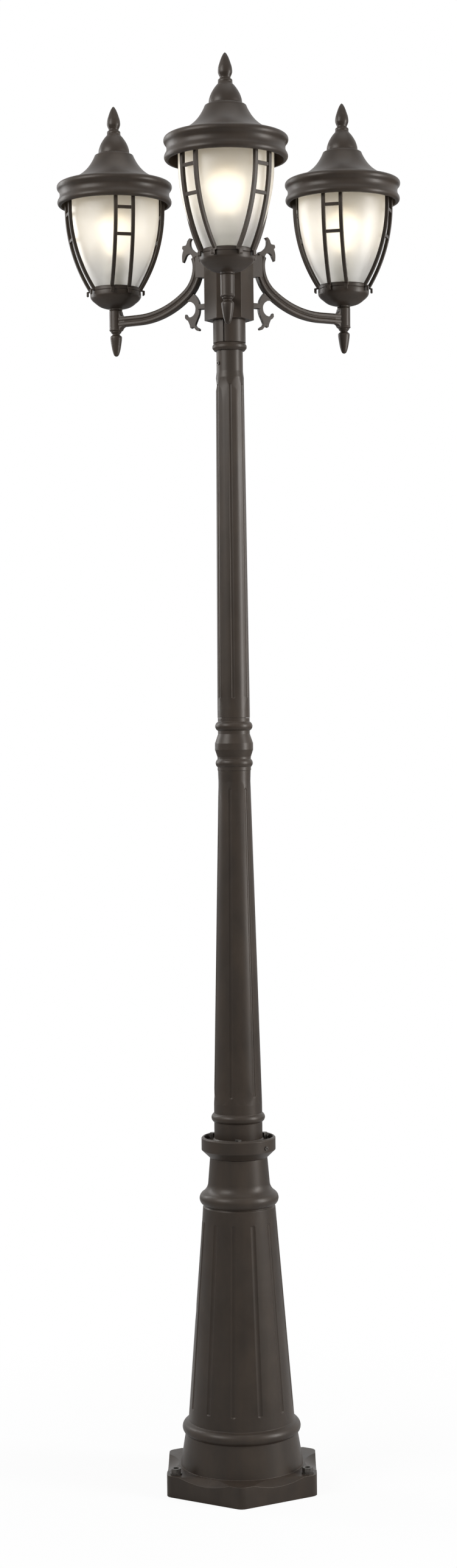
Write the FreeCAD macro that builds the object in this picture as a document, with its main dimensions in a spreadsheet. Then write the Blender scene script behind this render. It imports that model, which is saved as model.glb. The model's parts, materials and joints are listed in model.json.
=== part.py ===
"""Garden lamp post with three glass lanterns on scrolled arms.

Millimetres, +Z up. The origin is the centre of the anchor-bolt circle on the underside of the base,
on the axis of the post. The front lantern stands towards -Y and the other two at 120 degrees to it.
"""
import FreeCAD, Part
import Sketcher
import math
import os

ARMS = {"front": -90.0, "left": 150.0, "right": 30.0}

# How far a cut runs past the face that it opens.
PAST = 1.0

# Radial gap that stands for the thread between a nut and what it runs on.
THREAD_GAP = 0.05

# Driving sizes of the post, from the ground up.
POST_SIZES = {
    # gaps of round fits and of neighbouring castings
    "fit_gap": 0.1,
    "part_gap": 0.3,
    # hexagonal foot and fluted base casting
    "plate_corner_radius": 154.0,
    "plate_corner_round": 16.0,
    "plate_height": 38.0,
    "facet_inset": 20.0,
    "facet_half_width": 52.0,
    "facet_fall": 9.0,
    "anchor_circle_radius": 135.0,
    "anchor_hole_radius": 5.5,
    "anchor_bolt_radius": 5.0,
    "anchor_washer_radius": 10.5,
    "anchor_washer_thickness": 2.0,
    "anchor_nut_width": 17.0,
    "anchor_nut_height": 8.5,
    "flare_foot_radius": 110.5,
    "flare_top_radius": 101.0,
    "flare_top_z": 95.5,
    "lower_bead_top_z": 117.0,
    "lower_bead_round": 12.0,
    "cone_foot_radius": 95.6,
    "cone_top_radius": 65.2,
    "cone_top_z": 503.0,
    "upper_bead_bottom_z": 506.0,
    "upper_bead_top_z": 530.0,
    "upper_bead_round": 13.5,
    "upper_bead_seat_radius": 65.0,
    "cove_round": 22.0,
    "neck_foot_radius": 55.4,
    "neck_foot_z": 547.0,
    "neck_top_radius": 51.6,
    "neck_top_z": 592.0,
    "base_wall": 6.5,
    "diaphragm_z": 540.0,
    "diaphragm_thickness": 9.0,
    "bead_seat_step": 2.6,
    "base_flute_count": 12.0,
    "base_flute_cutter": 8.0,
    "base_flute_depth": 1.6,
    "base_flute_turn": 21.5,
    "base_flute_foot_z": 132.0,
    "base_flute_top_z": 490.0,
    # collar over the joint of base and shaft
    "collar_radius": 66.6,
    "collar_bottom_z": 592.6,
    "collar_wall_z": 606.0,
    "collar_top_z": 629.0,
    "collar_rim": 4.5,
    "collar_dish_z": 621.0,
    "collar_boss_radius": 47.5,
    "collar_gap": 0.4,
    "collar_boss_rise": 6.0,
    "collar_web": 9.0,
    "collar_grub_z": 614.0,
    "collar_screw_circle": 53.5,
    "collar_screw_width": 11.0,
    "collar_screw_height": 9.0,
    "collar_screw_face_radius": 5.9,
    "collar_screw_face_height": 1.6,
    # lower shaft
    "lower_sleeve_radius": 43.3,
    "lower_bead_bottom_z": 656.0,
    "shaft_bead_top_z": 672.0,
    "shaft_bead_round": 9.0,
    "lower_shaft_foot_radius": 43.2,
    "lower_shaft_foot_z": 690.0,
    "lower_shaft_top_radius": 28.7,
    "lower_shaft_top_z": 1268.0,
    "lower_shaft_end_z": 1287.0,
    "shaft_wall": 5.5,
    "spigot_radius": 41.0,
    "shaft_flute_count": 6.0,
    "shaft_flute_cutter": 5.0,
    "shaft_flute_depth": 1.3,
    "lower_flute_turn": 14.0,
    "upper_flute_turn": 30.0,
    # knuckle between the shafts
    "knuckle_bottom_z": 1287.3,
    "knuckle_top_z": 1381.0,
    "knuckle_waist_radius": 30.0,
    "knuckle_bead_round": 9.0,
    "knuckle_barrel_radius": 34.2,
    "knuckle_neck_radius": 28.6,
    "knuckle_lower_bead_foot": 6.0,
    "knuckle_lower_bead_head": 20.0,
    "knuckle_barrel_foot": 24.0,
    "knuckle_barrel_low": 37.0,
    "knuckle_barrel_high": 48.5,
    "knuckle_barrel_head": 65.0,
    "knuckle_upper_bead_foot": 71.0,
    "knuckle_upper_bead_head": 87.0,
    "sleeve_room": 4.0,
    "knuckle_sleeve_wall": 3.7,
    "knuckle_sleeve_length": 55.0,
    # upper shaft
    "upper_shaft_foot_z": 1381.3,
    "upper_shaft_foot_radius": 29.0,
    "upper_shaft_top_z": 1987.0,
    "upper_shaft_top_radius": 25.0,
    "shaft_neck_radius": 23.6,
    "shaft_neck_z": 1998.0,
    "shaft_neck_top_z": 2098.0,
    "neck_grub_z": 2012.0,
    "upper_bore_radius": 18.0,
    # fitter and hub
    "ring_bottom_z": 2035.0,
    "ring_top_z": 2048.5,
    "ring_radius": 30.7,
    "fitter_radius": 29.0,
    "fitter_top_z": 2088.7,
    "fitter_slit": 2.0,
    "hub_corner_radius": 44.0,
    "hub_bottom_z": 2089.0,
    "hub_floor": 7.0,
    "hub_top_z": 2222.0,
    "hub_bore_radius": 32.0,
    "arm_screw_radius": 3.0,
    "arm_screw_length": 18.0,
    "arm_screw_head_width": 10.0,
    "arm_screw_head_height": 4.0,
    "arm_screw_head_inset": 4.6,
    "block_length": 30.0,
    "block_width": 16.0,
    "block_height": 14.0,
    "block_back": 28.0,
    "block_z": 2140.0,
    "block_pitch": 9.5,
    "block_well_radius": 2.2,
    "cap_overhang": 2.5,
    "cap_edge": 5.0,
    "cap_dome_radius": 30.0,
    "cap_wall": 5.0,
    "cap_spigot_depth": 6.0,
    "cap_spigot_wall": 2.7,
    "cap_top_z": 2243.0,
    # steel inside the post
    "tie_radius": 8.0,
    "tie_bore_radius": 6.0,
    "tie_hole_gap": 0.5,
    "tie_washer_thickness": 4.0,
    "tie_lower_washer_radius": 20.0,
    "tie_upper_washer_radius": 29.0,
    "tie_nut_width": 24.0,
    "tie_nut_height": 8.0,
    "tie_bottom_z": 518.0,
    "tie_top_z": 2122.0,
}

# Driving sizes of one lantern and its arm. Depths are measured down from the tip of the finial.
LANTERN_SIZES = {
    "tip_z": 2500.0,
    "arm_reach": 240.85,
    # roof
    "roof_top_depth": 50.0,
    "roof_wall": 4.0,
    "roof_crown_radius": 12.7,
    "roof_crown_depth": 53.3,
    "dome_upper_radius": 20.6,
    "dome_upper_depth": 62.5,
    "dome_middle_radius": 26.2,
    "dome_middle_depth": 73.0,
    "dome_radius": 28.3,
    "dome_depth": 84.0,
    "step_depth": 86.3,
    "skirt_top_radius": 35.6,
    "skirt_top_depth": 90.6,
    "skirt_radius": 45.5,
    "skirt_depth": 108.5,
    "brim_round": 61.1,
    "brim_radius": 96.0,
    "brim_depth": 139.5,
    "lip_radius": 101.0,
    "lip_top_depth": 140.6,
    "lip_crest_radius": 105.4,
    "lip_crest_top_depth": 144.6,
    "lip_crest_bottom_depth": 149.5,
    "lip_bottom_depth": 154.6,
    "cove_radius": 100.3,
    "cove_top_depth": 157.5,
    "cove_bottom_depth": 165.0,
    "rim_radius": 104.4,
    "rim_top_depth": 173.0,
    "rim_bottom_depth": 181.0,
    "rim_inner_radius": 97.4,
    # finial and drop finial
    "finial_ring_radius": 12.2,
    "finial_neck_radius": 9.2,
    "finial_neck_depth": 40.5,
    "acorn_radius": 12.2,
    "acorn_depth": 31.0,
    "acorn_shoulder_radius": 9.6,
    "acorn_shoulder_depth": 19.0,
    "acorn_point_radius": 6.2,
    "acorn_point_depth": 9.3,
    "stud_radius": 3.0,
    "stud_gap": 0.25,
    "stud_top_depth": 36.0,
    "stud_collar_radius": 8.0,
    "strap_half_length": 86.5,
    "strap_half_width": 7.0,
    "strap_thickness": 3.0,
    "lock_nut_corner_radius": 5.8,
    "lock_nut_height": 5.0,
    "drop_top_depth": 409.3,
    "drop_bore_depth": 8.5,
    "drop_neck_radius": 6.6,
    "drop_neck_depth": 414.6,
    "drop_flange_radius": 9.6,
    "drop_radius": 10.7,
    "drop_shoulder_depth": 419.0,
    "drop_belly_radius": 8.9,
    "drop_belly_depth": 436.0,
    "drop_point_radius": 5.2,
    "drop_point_depth": 450.0,
    "drop_tip_depth": 455.0,
    # cage
    "cage_ring_radius": 91.5,
    "cage_ring_inner_radius": 82.4,
    "cage_ring_depth": 145.0,
    "cage_ring_height": 8.0,
    "bar_spread": 32.0,
    "bar_width": 6.2,
    "bar_thickness": 6.0,
    "bar_radius": 89.2,
    "bar_curve_depth": 188.0,
    "bar_curve": 277.8,
    "bar_foot_radius": 50.6,
    "bar_foot_depth": 336.5,
    "foot_height": 8.5,
    "rung_upper_depth": 199.0,
    "rung_lower_depth": 246.0,
    "rung_height": 5.6,
    "seat_ring_depth": 331.0,
    "seat_ring_radius": 46.2,
    "seat_ring_inner_radius": 41.2,
    "seat_ring_height": 7.0,
    # glass
    "glass_radius": 81.0,
    "glass_top_depth": 154.0,
    "glass_wall": 3.0,
    "glass_belly_radius": 78.5,
    "glass_belly_depth": 224.0,
    "glass_waist_radius": 70.6,
    "glass_waist_depth": 262.0,
    "glass_throat_radius": 56.6,
    "glass_throat_depth": 300.0,
    "glass_foot_radius": 37.4,
    "glass_foot_depth": 337.0,
    "glass_end_depth": 341.7,
    # cup and stem
    "cup_rim_depth": 338.3,
    "cup_rim_radius": 46.5,
    "cup_rim_thickness": 5.9,
    "cup_ledge": 13.9,
    "cup_rim_foot_depth": 346.5,
    "cup_shoulder_radius": 44.2,
    "cup_shoulder_depth": 351.5,
    "cup_belly_radius": 37.8,
    "cup_belly_depth": 357.3,
    "cup_base_radius": 27.3,
    "cup_base_depth": 364.5,
    "cup_floor": 7.5,
    "stem_radius": 12.0,
    "stem_top_depth": 368.0,
    "arm_boss_depth": 371.0,
    # lamp
    "holder_radius": 19.5,
    "holder_top_depth": 272.0,
    "holder_bottom_depth": 334.0,
    "holder_mouth_depth": 26.0,
    "nipple_grip": 12.0,
    "lamp_thread_radius": 13.2,
    "bulb_radius": 30.0,
    "bulb_top_depth": 191.0,
    "nipple_radius": 5.0,
    "nipple_bore_radius": 3.4,
    "cup_nut_width": 16.0,
    "cup_nut_height": 4.0,
}

# Driving sizes of the arm casting, in the upright plane through the post and the lantern.
ARM_SIZES = {
    "arm_depth": 393.0,
    "arm_half_height": 9.0,
    "arm_half_width": 7.0,
    "arm_groove": 1.5,
    "arm_straight_end": 190.0,
    "sweep_radius": 166.0,
    "sweep_degrees": 38.5,
    "turn_radius": 62.0,
    "curl_radius": 42.0,
    "curl_degrees": 24.0,
    "foot_top_z": 2212.0,
    "foot_bottom_z": 2168.0,
    "foot_half_width": 8.0,
    "stub_z": 2118.5,
    "stub_half_height": 4.4,
    "web_reach": 22.0,
    "web_top": 18.5,
    "web_foot": 15.2,
    "web_round": 9.5,
    "scroll_centre_reach": 79.5,
    "scroll_centre_z": 2115.5,
    "scroll_back": 19.5,
    "spray_centre_reach": 84.0,
    "spray_centre_z": 2222.0,
    "scroll_scale": 1.0,
    "leaf_thickness": 6.0,
}

# Corners round the lower scroll with its leaves, from the middle of its round opening: (reach, height)
# and, where a curved edge ends, the radius of that edge. A negative radius hollows the edge.
SCROLL_CORNERS = (
    (0.5, 32.5),
    (-7.5, 27.5),
    (-18.5, 11.5, 40.0),
    (-19.7, -2.5),
    (-14.9, -17.5, 30.0),
    (-10.1, -28.1),
    (-15.9, -33.7, -8.0),
    (-19.3, -36.9),
    (-18.1, -39.3),
    (-11.9, -37.9, 9.0),
    (-6.3, -31.5),
    (-1.5, -33.9),
    (0.5, -32.1),
    (2.7, -24.5, -20.0),
    (5.1, -19.5),
    (11.3, -13.9, 14.0),
    (11.1, -8.9),
    (8.9, -7.9),
    (6.3, -11.9),
    (0.1, -13.7, -9.0),
    (-10.9, -2.0, -13.0),
    (-4.5, 11.9, -13.0),
    (12.0, 13.9, -17.0),
    (15.0, 19.0),
)

# Corners round the upper spray and its neck in the same way, from the root of its three leaves.
SPRAY_CORNERS = (
    (-10.1, -16.8),
    (-3.4, -6.8, -8.5),
    (4.6, -13.4, -8.5),
    (8.9, -21.4),
    (10.8, -20.4),
    (11.4, -10.5, 60.0),
    (8.6, 0.6, 30.0),
    (11.2, 4.2),
    (10.2, 8.4),
    (3.4, 9.2),
    (0.4, 15.6, -14.0),
    (-4.8, 21.2, 16.0),
    (-9.4, 19.8),
    (-5.6, 14.6, -9.0),
    (-5.8, 7.6, -24.0),
    (-9.0, 1.2, -16.0),
    (-14.6, -3.8),
    (-23.8, -7.4),
    (-24.0, -14.0),
)


class Size:
    """A length in millimetres together with the sheet expression that it comes from."""

    def __init__(self, value, text):
        self.value = value
        self.text = text

    def __add__(self, other):
        other = as_size(other)
        return Size(self.value + other.value, f"({self.text} + {other.text})")

    def __radd__(self, other):
        return as_size(other) + self

    def __sub__(self, other):
        other = as_size(other)
        return Size(self.value - other.value, f"({self.text} - {other.text})")

    def __rsub__(self, other):
        return as_size(other) - self

    def __mul__(self, factor):
        factor = as_size(factor)
        return Size(self.value * factor.value, f"({self.text} * {factor.text})")

    def __neg__(self):
        return Size(-self.value, f"(-1 * {self.text})")


def as_size(number):
    """A plain number as a Size, so that both can stand in one sum."""
    return number if isinstance(number, Size) else Size(float(number), f"{float(number):.6g}")


def make_sheet(doc, tables):
    """One spreadsheet with a plain number and an alias in each row."""
    sheet = doc.addObject("Spreadsheet::Sheet", "dims")
    row = 1
    for table in tables:
        for alias, value in table.items():
            sheet.set(f"A{row}", alias.replace("_", " "))
            sheet.set(f"B{row}", str(value))
            sheet.setAlias(f"B{row}", alias)
            row += 1
    doc.recompute()
    return sheet


class Sizes:
    """Reads the sheet: sizes.plate_height is a Size bound to the cell of that alias."""

    def __init__(self, sheet):
        self.sheet = sheet

    def __getattr__(self, alias):
        return Size(float(self.sheet.get(alias)), f"dims.{alias}")


def depth(d, name):
    """Height of a lantern level that the sheet gives as a depth below the finial's tip."""
    return d.tip_z - getattr(d, name)


# ---------------------------------------------------------------- sketches and features


def new_body(doc, label):
    body = doc.addObject("PartDesign::Body", label)
    body.Label = label
    return body


def origin_plane(body, role):
    return next(f for f in body.Origin.OriginFeatures if getattr(f, "Role", "") == role)


def new_sketch(body, name, role="XZ_Plane", offset=None):
    """A sketch on one of the body's own origin planes, moved along its normal by offset."""
    sketch = body.newObject("Sketcher::SketchObject", name)
    sketch.AttachmentSupport = [(origin_plane(body, role), "")]
    sketch.MapMode = "FlatFace"
    if offset is not None:
        sketch.AttachmentOffset.Base.z = offset.value
        sketch.setExpression("AttachmentOffset.Base.z", offset.text)
    return sketch


def pin_value(sketch, kind, target, size):
    """A dimension of the sketch, bound to the sheet."""
    index = sketch.addConstraint(Sketcher.Constraint(kind, *target, size.value))
    sketch.setExpression(f"Constraints[{index}]", size.text)


def pin_point(sketch, edge, end, across, up):
    """Ties one end of an edge to its two coordinates; a zero coordinate lies on the sketch axis."""
    for kind, size, axis in (("DistanceX", across, -2), ("DistanceY", up, -1)):
        if abs(size.value) < 1e-9:
            sketch.addConstraint(Sketcher.Constraint("PointOnObject", edge, end, axis))
        else:
            pin_value(sketch, kind, (-1, 1, edge, end), size)


def arc_between(start, end, radius):
    """The minor arc of a signed radius: positive keeps its centre on the left of the travel."""
    chord = end - start
    middle = (start + end) * 0.5
    left = FreeCAD.Vector(-chord.y, chord.x, 0).normalize()
    rise = math.sqrt(radius * radius - chord.Length * chord.Length / 4)
    side = 1 if radius > 0 else -1
    centre = middle + left * (side * rise)
    crest = centre - left * (side * abs(radius))
    return Part.Arc(start, crest, end)


def draw_outline(sketch, corners):
    """A closed outline; a corner is (across, up) or (across, up, radius of the arc that ends there)."""
    corners = [tuple(as_size(c) for c in corner) for corner in corners]
    points = [FreeCAD.Vector(c[0].value, c[1].value, 0) for c in corners]
    edges = []
    for number, corner in enumerate(corners):
        start = points[number - 1]
        end = points[number]
        if len(corner) == 3:
            arc = arc_between(start, end, corner[2].value)
            edge = sketch.addGeometry(arc, False)
            backwards = (sketch.getPoint(edge, 1) - start).Length > (sketch.getPoint(edge, 2) - start).Length
            ends = (2, 1) if backwards else (1, 2)
        else:
            edge = sketch.addGeometry(Part.LineSegment(start, end), False)
            ends = (1, 2)
        edges.append((edge, ends))
    for number, (edge, ends) in enumerate(edges):
        before, before_ends = edges[number - 1]
        sketch.addConstraint(Sketcher.Constraint("Coincident", before, before_ends[1], edge, ends[0]))
    for number, (edge, ends) in enumerate(edges):
        corner = corners[number]
        if len(corner) == 3:
            radius = corner[2] if corner[2].value > 0 else -corner[2]
            pin_value(sketch, "Radius", (edge,), radius)
        pin_point(sketch, edge, ends[1], corner[0], corner[1])


def draw_circle(sketch, across, up, radius):
    centre = FreeCAD.Vector(across.value, up.value, 0)
    circle = sketch.addGeometry(Part.Circle(centre, FreeCAD.Vector(0, 0, 1), radius.value), False)
    pin_value(sketch, "Radius", (circle,), radius)
    pin_point(sketch, circle, 3, across, up)


def revolve(body, name, corners, cut=False):
    """A ring of material, or a turned-out space, from its half section in the XZ plane."""
    sketch = new_sketch(body, name + "_section")
    draw_outline(sketch, corners)
    feature = body.newObject("PartDesign::Groove" if cut else "PartDesign::Revolution", name)
    feature.Profile = (sketch, [""])
    feature.ReferenceAxis = (sketch, ["V_Axis"])
    feature.Angle = 360
    return feature


def extrude(body, name, sketch, length=None, symmetric=False, cut=False, reverse=False):
    """A pad or a pocket of the sketch; a pocket without a length goes through everything."""
    feature = body.newObject("PartDesign::Pocket" if cut else "PartDesign::Pad", name)
    feature.Profile = (sketch, [""])
    if length is None:
        feature.Type = "ThroughAll"
    else:
        feature.Length = length.value
        feature.setExpression("Length", length.text)
    if symmetric:
        feature.SideType = "Symmetric"
    feature.Reversed = reverse
    return feature


def slab(body, name, corners, thickness, cut=False, role="XZ_Plane", offset=None):
    """An outline in an upright plane, given its thickness to both sides of that plane."""
    sketch = new_sketch(body, name + "_outline", role, offset)
    draw_outline(sketch, corners)
    return extrude(body, name, sketch, thickness, symmetric=True, cut=cut)


def polar(body, name, features, count):
    """Repeats features around the body's upright axis; the last repeat becomes the body's tip."""
    pattern = body.newObject("PartDesign::PolarPattern", name)
    pattern.Originals = features
    pattern.Axis = (next(f for f in body.Origin.OriginFeatures if getattr(f, "Role", "") == "Z_Axis"), [""])
    pattern.Angle = 360
    pattern.Occurrences = int(round(count.value))
    if count.text.startswith("dims."):
        pattern.setExpression("Occurrences", count.text)
    body.Tip = pattern
    return pattern


def turned(doc, label, corners):
    """A piece turned in one go from its half section."""
    body = new_body(doc, label)
    revolve(body, label + "_turning", corners)
    return body


def ring_section(inner, outer, bottom, top):
    return [(inner, bottom), (outer, bottom), (outer, top), (inner, top)]


def polygon_corners(radius, count, first_degrees):
    """Corners of a regular outline; each one is the bound radius times a plain direction."""
    corners = []
    for number in range(count):
        angle = math.radians(first_degrees + 360.0 * number / count)
        corners.append((radius * round(math.cos(angle), 9), radius * round(math.sin(angle), 9)))
    return corners


def place(body, turn_degrees):
    """Turns a finished piece about the axis of the post."""
    rotation = FreeCAD.Rotation(FreeCAD.Vector(0, 0, 1), turn_degrees)
    body.Placement = FreeCAD.Placement(FreeCAD.Vector(), rotation)


# ---------------------------------------------------------------- flutes


def flute(body, name, low, high, cutter, cut_depth, count, turn):
    """Round-bottomed flutes with scooped ends, cut by a spindle that lies along the taper.

    low and high are the (radius, height) of the taper at the ends of one flute, and turn is where
    the first one stands, in degrees from the front-to-right axis.
    """
    lean = math.atan2(low[0].value - high[0].value, high[1].value - low[1].value)
    length = math.hypot(low[0].value - high[0].value, high[1].value - low[1].value)
    out = FreeCAD.Vector(math.cos(lean), 0, math.sin(lean))
    along = FreeCAD.Vector(-math.sin(lean), 0, math.cos(lean))
    offset = cutter.value - cut_depth.value
    foot = FreeCAD.Vector(low[0].value, 0, low[1].value) + out * offset
    taper = cutter.value * 1.6
    sketch = new_sketch(body, name + "_section")

    def at(up, across):
        spot = foot + along * up - out * across
        return FreeCAD.Vector(spot.x, spot.z, 0)

    spots = [at(0, 0), at(length, 0), at(length - taper, cutter.value), at(taper, cutter.value)]
    for number, spot in enumerate(spots):
        sketch.addGeometry(Part.LineSegment(spot, spots[(number + 1) % 4]), False)
    for number in range(4):
        sketch.addConstraint(Sketcher.Constraint("Coincident", number, 2, (number + 1) % 4, 1))
    sketch.addGeometry(Part.LineSegment(spots[0], spots[1]), True)
    sketch.addConstraint(Sketcher.Constraint("Coincident", 4, 1, 0, 1))
    sketch.addConstraint(Sketcher.Constraint("Coincident", 4, 2, 0, 2))
    sketch.addConstraint(Sketcher.Constraint("Parallel", 2, 0))
    gap = cutter - cut_depth
    pin_point(sketch, 0, 1, low[0] + gap * math.cos(lean), low[1] + gap * math.sin(lean))
    pin_point(sketch, 0, 2, high[0] + gap * math.cos(lean), high[1] + gap * math.sin(lean))
    pin_value(sketch, "Distance", (2, 1, 0), cutter)
    pin_value(sketch, "Distance", (2,), as_size(length - 2 * taper))
    sketch.addConstraint(Sketcher.Constraint("Equal", 1, 3))
    groove = body.newObject("PartDesign::Groove", name)
    groove.Profile = (sketch, [""])
    groove.ReferenceAxis = (sketch, ["Axis0"])
    groove.Angle = 360
    sideways = FreeCAD.Rotation(FreeCAD.Vector(0, 1, 0), turn.value)
    sketch.AttachmentOffset = FreeCAD.Placement(FreeCAD.Vector(), sideways)
    return polar(body, name + "s", [groove], count)


# ---------------------------------------------------------------- the post


def base_casting(doc, d):
    """Hexagonal foot, flare, lower bead, fluted cone, upper bead, cove and neck in one hollow casting."""
    body = new_body(doc, "base_casting")
    outline = new_sketch(body, "foot_outline", "XY_Plane")
    draw_outline(outline, polygon_corners(d.plate_corner_radius, 6, -90))
    foot = extrude(body, "foot", outline, d.plate_height)
    doc.recompute()
    upright = [
        f"Edge{number}"
        for number, edge in enumerate(foot.Shape.Edges, 1)
        if abs(edge.tangentAt(edge.FirstParameter).z) > 0.99
    ]
    corners = body.newObject("PartDesign::Fillet", "foot_corners")
    corners.Base = (foot, upright)
    corners.Radius = d.plate_corner_round.value
    corners.setExpression("Radius", d.plate_corner_round.text)
    foot_facets(body, d)
    shell_top = d.neck_top_z
    revolve(
        body,
        "stack",
        [
            (0, d.plate_height * 0.5),
            (d.flare_foot_radius, d.plate_height * 0.5),
            (d.flare_foot_radius, d.plate_height),
            (d.flare_top_radius, d.flare_top_z),
            (d.cone_foot_radius + d.bead_seat_step, d.lower_bead_top_z, d.lower_bead_round),
            (d.cone_foot_radius, d.lower_bead_top_z + 1.5),
            (d.cone_top_radius, d.cone_top_z),
            (d.upper_bead_seat_radius - 2.0, d.upper_bead_bottom_z),
            (d.upper_bead_seat_radius - 0.5, d.upper_bead_top_z, d.upper_bead_round),
            (d.neck_foot_radius, d.neck_foot_z, -d.cove_round),
            (d.neck_top_radius, shell_top),
            (0, shell_top),
        ],
    )
    inner_foot = d.flare_top_radius - d.base_wall
    inner_top = d.cone_top_radius - d.base_wall
    revolve(
        body,
        "hollow",
        [
            (0, 0),
            (inner_foot, 0),
            (inner_foot - 6.0, d.lower_bead_top_z),
            (inner_top - 1.0, d.cone_top_z),
            (d.neck_foot_radius - d.base_wall, d.diaphragm_z),
            (0, d.diaphragm_z),
        ],
        cut=True,
    )
    diaphragm_top = d.diaphragm_z + d.diaphragm_thickness
    tie_hole = d.tie_radius + d.tie_hole_gap
    revolve(
        body,
        "socket",
        [
            (0, diaphragm_top),
            (d.spigot_radius + d.part_gap, diaphragm_top),
            (d.spigot_radius + d.part_gap, shell_top + PAST),
            (0, shell_top + PAST),
        ],
        cut=True,
    )
    revolve(
        body,
        "tie_hole",
        [
            (0, d.diaphragm_z - PAST),
            (tie_hole, d.diaphragm_z - PAST),
            (tie_hole, diaphragm_top + PAST),
            (0, diaphragm_top + PAST),
        ],
        cut=True,
    )
    holes = new_sketch(body, "anchor_holes", "XY_Plane")
    for corner in polygon_corners(d.anchor_circle_radius, 3, -30):
        draw_circle(holes, corner[0], corner[1], d.anchor_hole_radius)
    extrude(body, "anchor_hole", holes, cut=True, reverse=True)
    base_flutes(body, d)
    return body


def base_flutes(body, d):
    """Flutes down the cone of the base, between the two beads."""
    rise = d.cone_top_z.value - d.lower_bead_top_z.value - 1.5
    slope = (d.cone_foot_radius.value - d.cone_top_radius.value) / rise
    low = (d.cone_top_radius + (d.cone_top_z - d.base_flute_foot_z) * slope, d.base_flute_foot_z)
    high = (d.cone_top_radius + (d.cone_top_z - d.base_flute_top_z) * slope, d.base_flute_top_z)
    cutter = (d.base_flute_cutter, d.base_flute_depth)
    flute(body, "base_flute", low, high, *cutter, d.base_flute_count, d.base_flute_turn)


def foot_facets(body, d):
    """Lens-shaped facets that fall away between the corners of the foot, cut by a shallow cone."""
    apothem = d.plate_corner_radius * math.cos(math.radians(30))
    inset = d.facet_inset.value
    half = d.facet_half_width.value
    reach = (half * half + inset * inset) / (2 * inset)
    slope = d.facet_fall.value / inset
    centre = apothem + (reach - inset)
    top = d.plate_height + 4.0
    sketch = new_sketch(body, "facet_section")
    draw_outline(
        sketch,
        [
            (centre, d.plate_height - reach * slope),
            (centre, top),
            (centre - (reach + 4.0 / slope), top),
        ],
    )
    sketch.addGeometry(
        Part.LineSegment(
            FreeCAD.Vector(centre.value, 0, 0),
            FreeCAD.Vector(centre.value, top.value, 0),
        ),
        True,
    )
    axis = sketch.GeometryCount - 1
    sketch.addConstraint(Sketcher.Constraint("Vertical", axis))
    sketch.addConstraint(Sketcher.Constraint("Coincident", axis, 2, 1, 2))
    sketch.addConstraint(Sketcher.Constraint("PointOnObject", axis, 1, -1))
    facet = body.newObject("PartDesign::Groove", "facet")
    facet.Profile = (sketch, [""])
    facet.ReferenceAxis = (sketch, ["Axis0"])
    facet.Angle = 360
    polar(body, "facets", [facet], as_size(6))


def base_collar(doc, d):
    """Dished ring that covers the joint between the base casting and the lower shaft."""
    inner = d.lower_sleeve_radius + d.collar_gap
    web_top = d.collar_bottom_z + d.collar_web
    return turned(
        doc,
        "base_collar",
        [
            (d.spigot_radius + d.collar_gap, d.collar_bottom_z),
            (d.neck_top_radius + 1.0, d.collar_bottom_z),
            (d.collar_radius, d.collar_wall_z),
            (d.collar_radius, d.collar_top_z - 2.0),
            (d.collar_radius - 2.0, d.collar_top_z),
            (d.collar_radius - d.collar_rim, d.collar_top_z),
            (d.collar_radius - d.collar_rim - 2.5, d.collar_dish_z),
            (d.collar_boss_radius, d.collar_dish_z),
            (inner, d.collar_dish_z + d.collar_boss_rise),
            (inner, web_top),
            (d.spigot_radius + d.collar_gap, web_top),
        ],
    )


def lower_shaft(doc, d):
    """Tapered shaft with six flutes, a bead and a sleeve at its foot and a spigot into the base."""
    body = new_body(doc, "lower_shaft")
    sleeve_foot = d.collar_bottom_z + d.collar_web + d.part_gap
    spigot_foot = d.diaphragm_z + d.diaphragm_thickness + d.part_gap
    revolve(
        body,
        "shaft",
        [
            (d.spigot_radius - d.shaft_wall, spigot_foot),
            (d.spigot_radius, spigot_foot),
            (d.spigot_radius, sleeve_foot),
            (d.lower_sleeve_radius, sleeve_foot),
            (d.lower_sleeve_radius, d.lower_bead_bottom_z),
            (d.lower_sleeve_radius, d.shaft_bead_top_z, d.shaft_bead_round),
            (d.lower_shaft_foot_radius, d.lower_shaft_foot_z),
            (d.lower_shaft_top_radius, d.lower_shaft_top_z),
            (d.lower_shaft_top_radius + 0.6, d.lower_shaft_end_z),
            (d.upper_bore_radius + d.sleeve_room, d.lower_shaft_end_z),
            (d.upper_bore_radius + d.sleeve_room, d.lower_shaft_top_z - 30.0),
        ],
    )
    shaft_flutes(body, d, "lower_flute", d.lower_flute_turn)
    return body


def shaft_flutes(body, d, name, turn):
    """Flutes along one of the two tapered shafts, clear of its plain ends."""
    if name == "lower_flute":
        foot_radius, foot_z = d.lower_shaft_foot_radius, d.lower_shaft_foot_z
        top_radius, top_z = d.lower_shaft_top_radius, d.lower_shaft_top_z
    else:
        foot_radius, foot_z = d.upper_shaft_foot_radius, d.upper_shaft_foot_z + 22.0
        top_radius, top_z = d.upper_shaft_top_radius, d.upper_shaft_top_z
    taper = (foot_radius.value - top_radius.value) / (top_z.value - foot_z.value)
    low = (foot_radius - 6.0 * taper, foot_z + 6.0)
    high = (top_radius + 6.0 * taper, top_z - 6.0)
    flute(body, name, low, high, d.shaft_flute_cutter, d.shaft_flute_depth, d.shaft_flute_count, turn)


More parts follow.
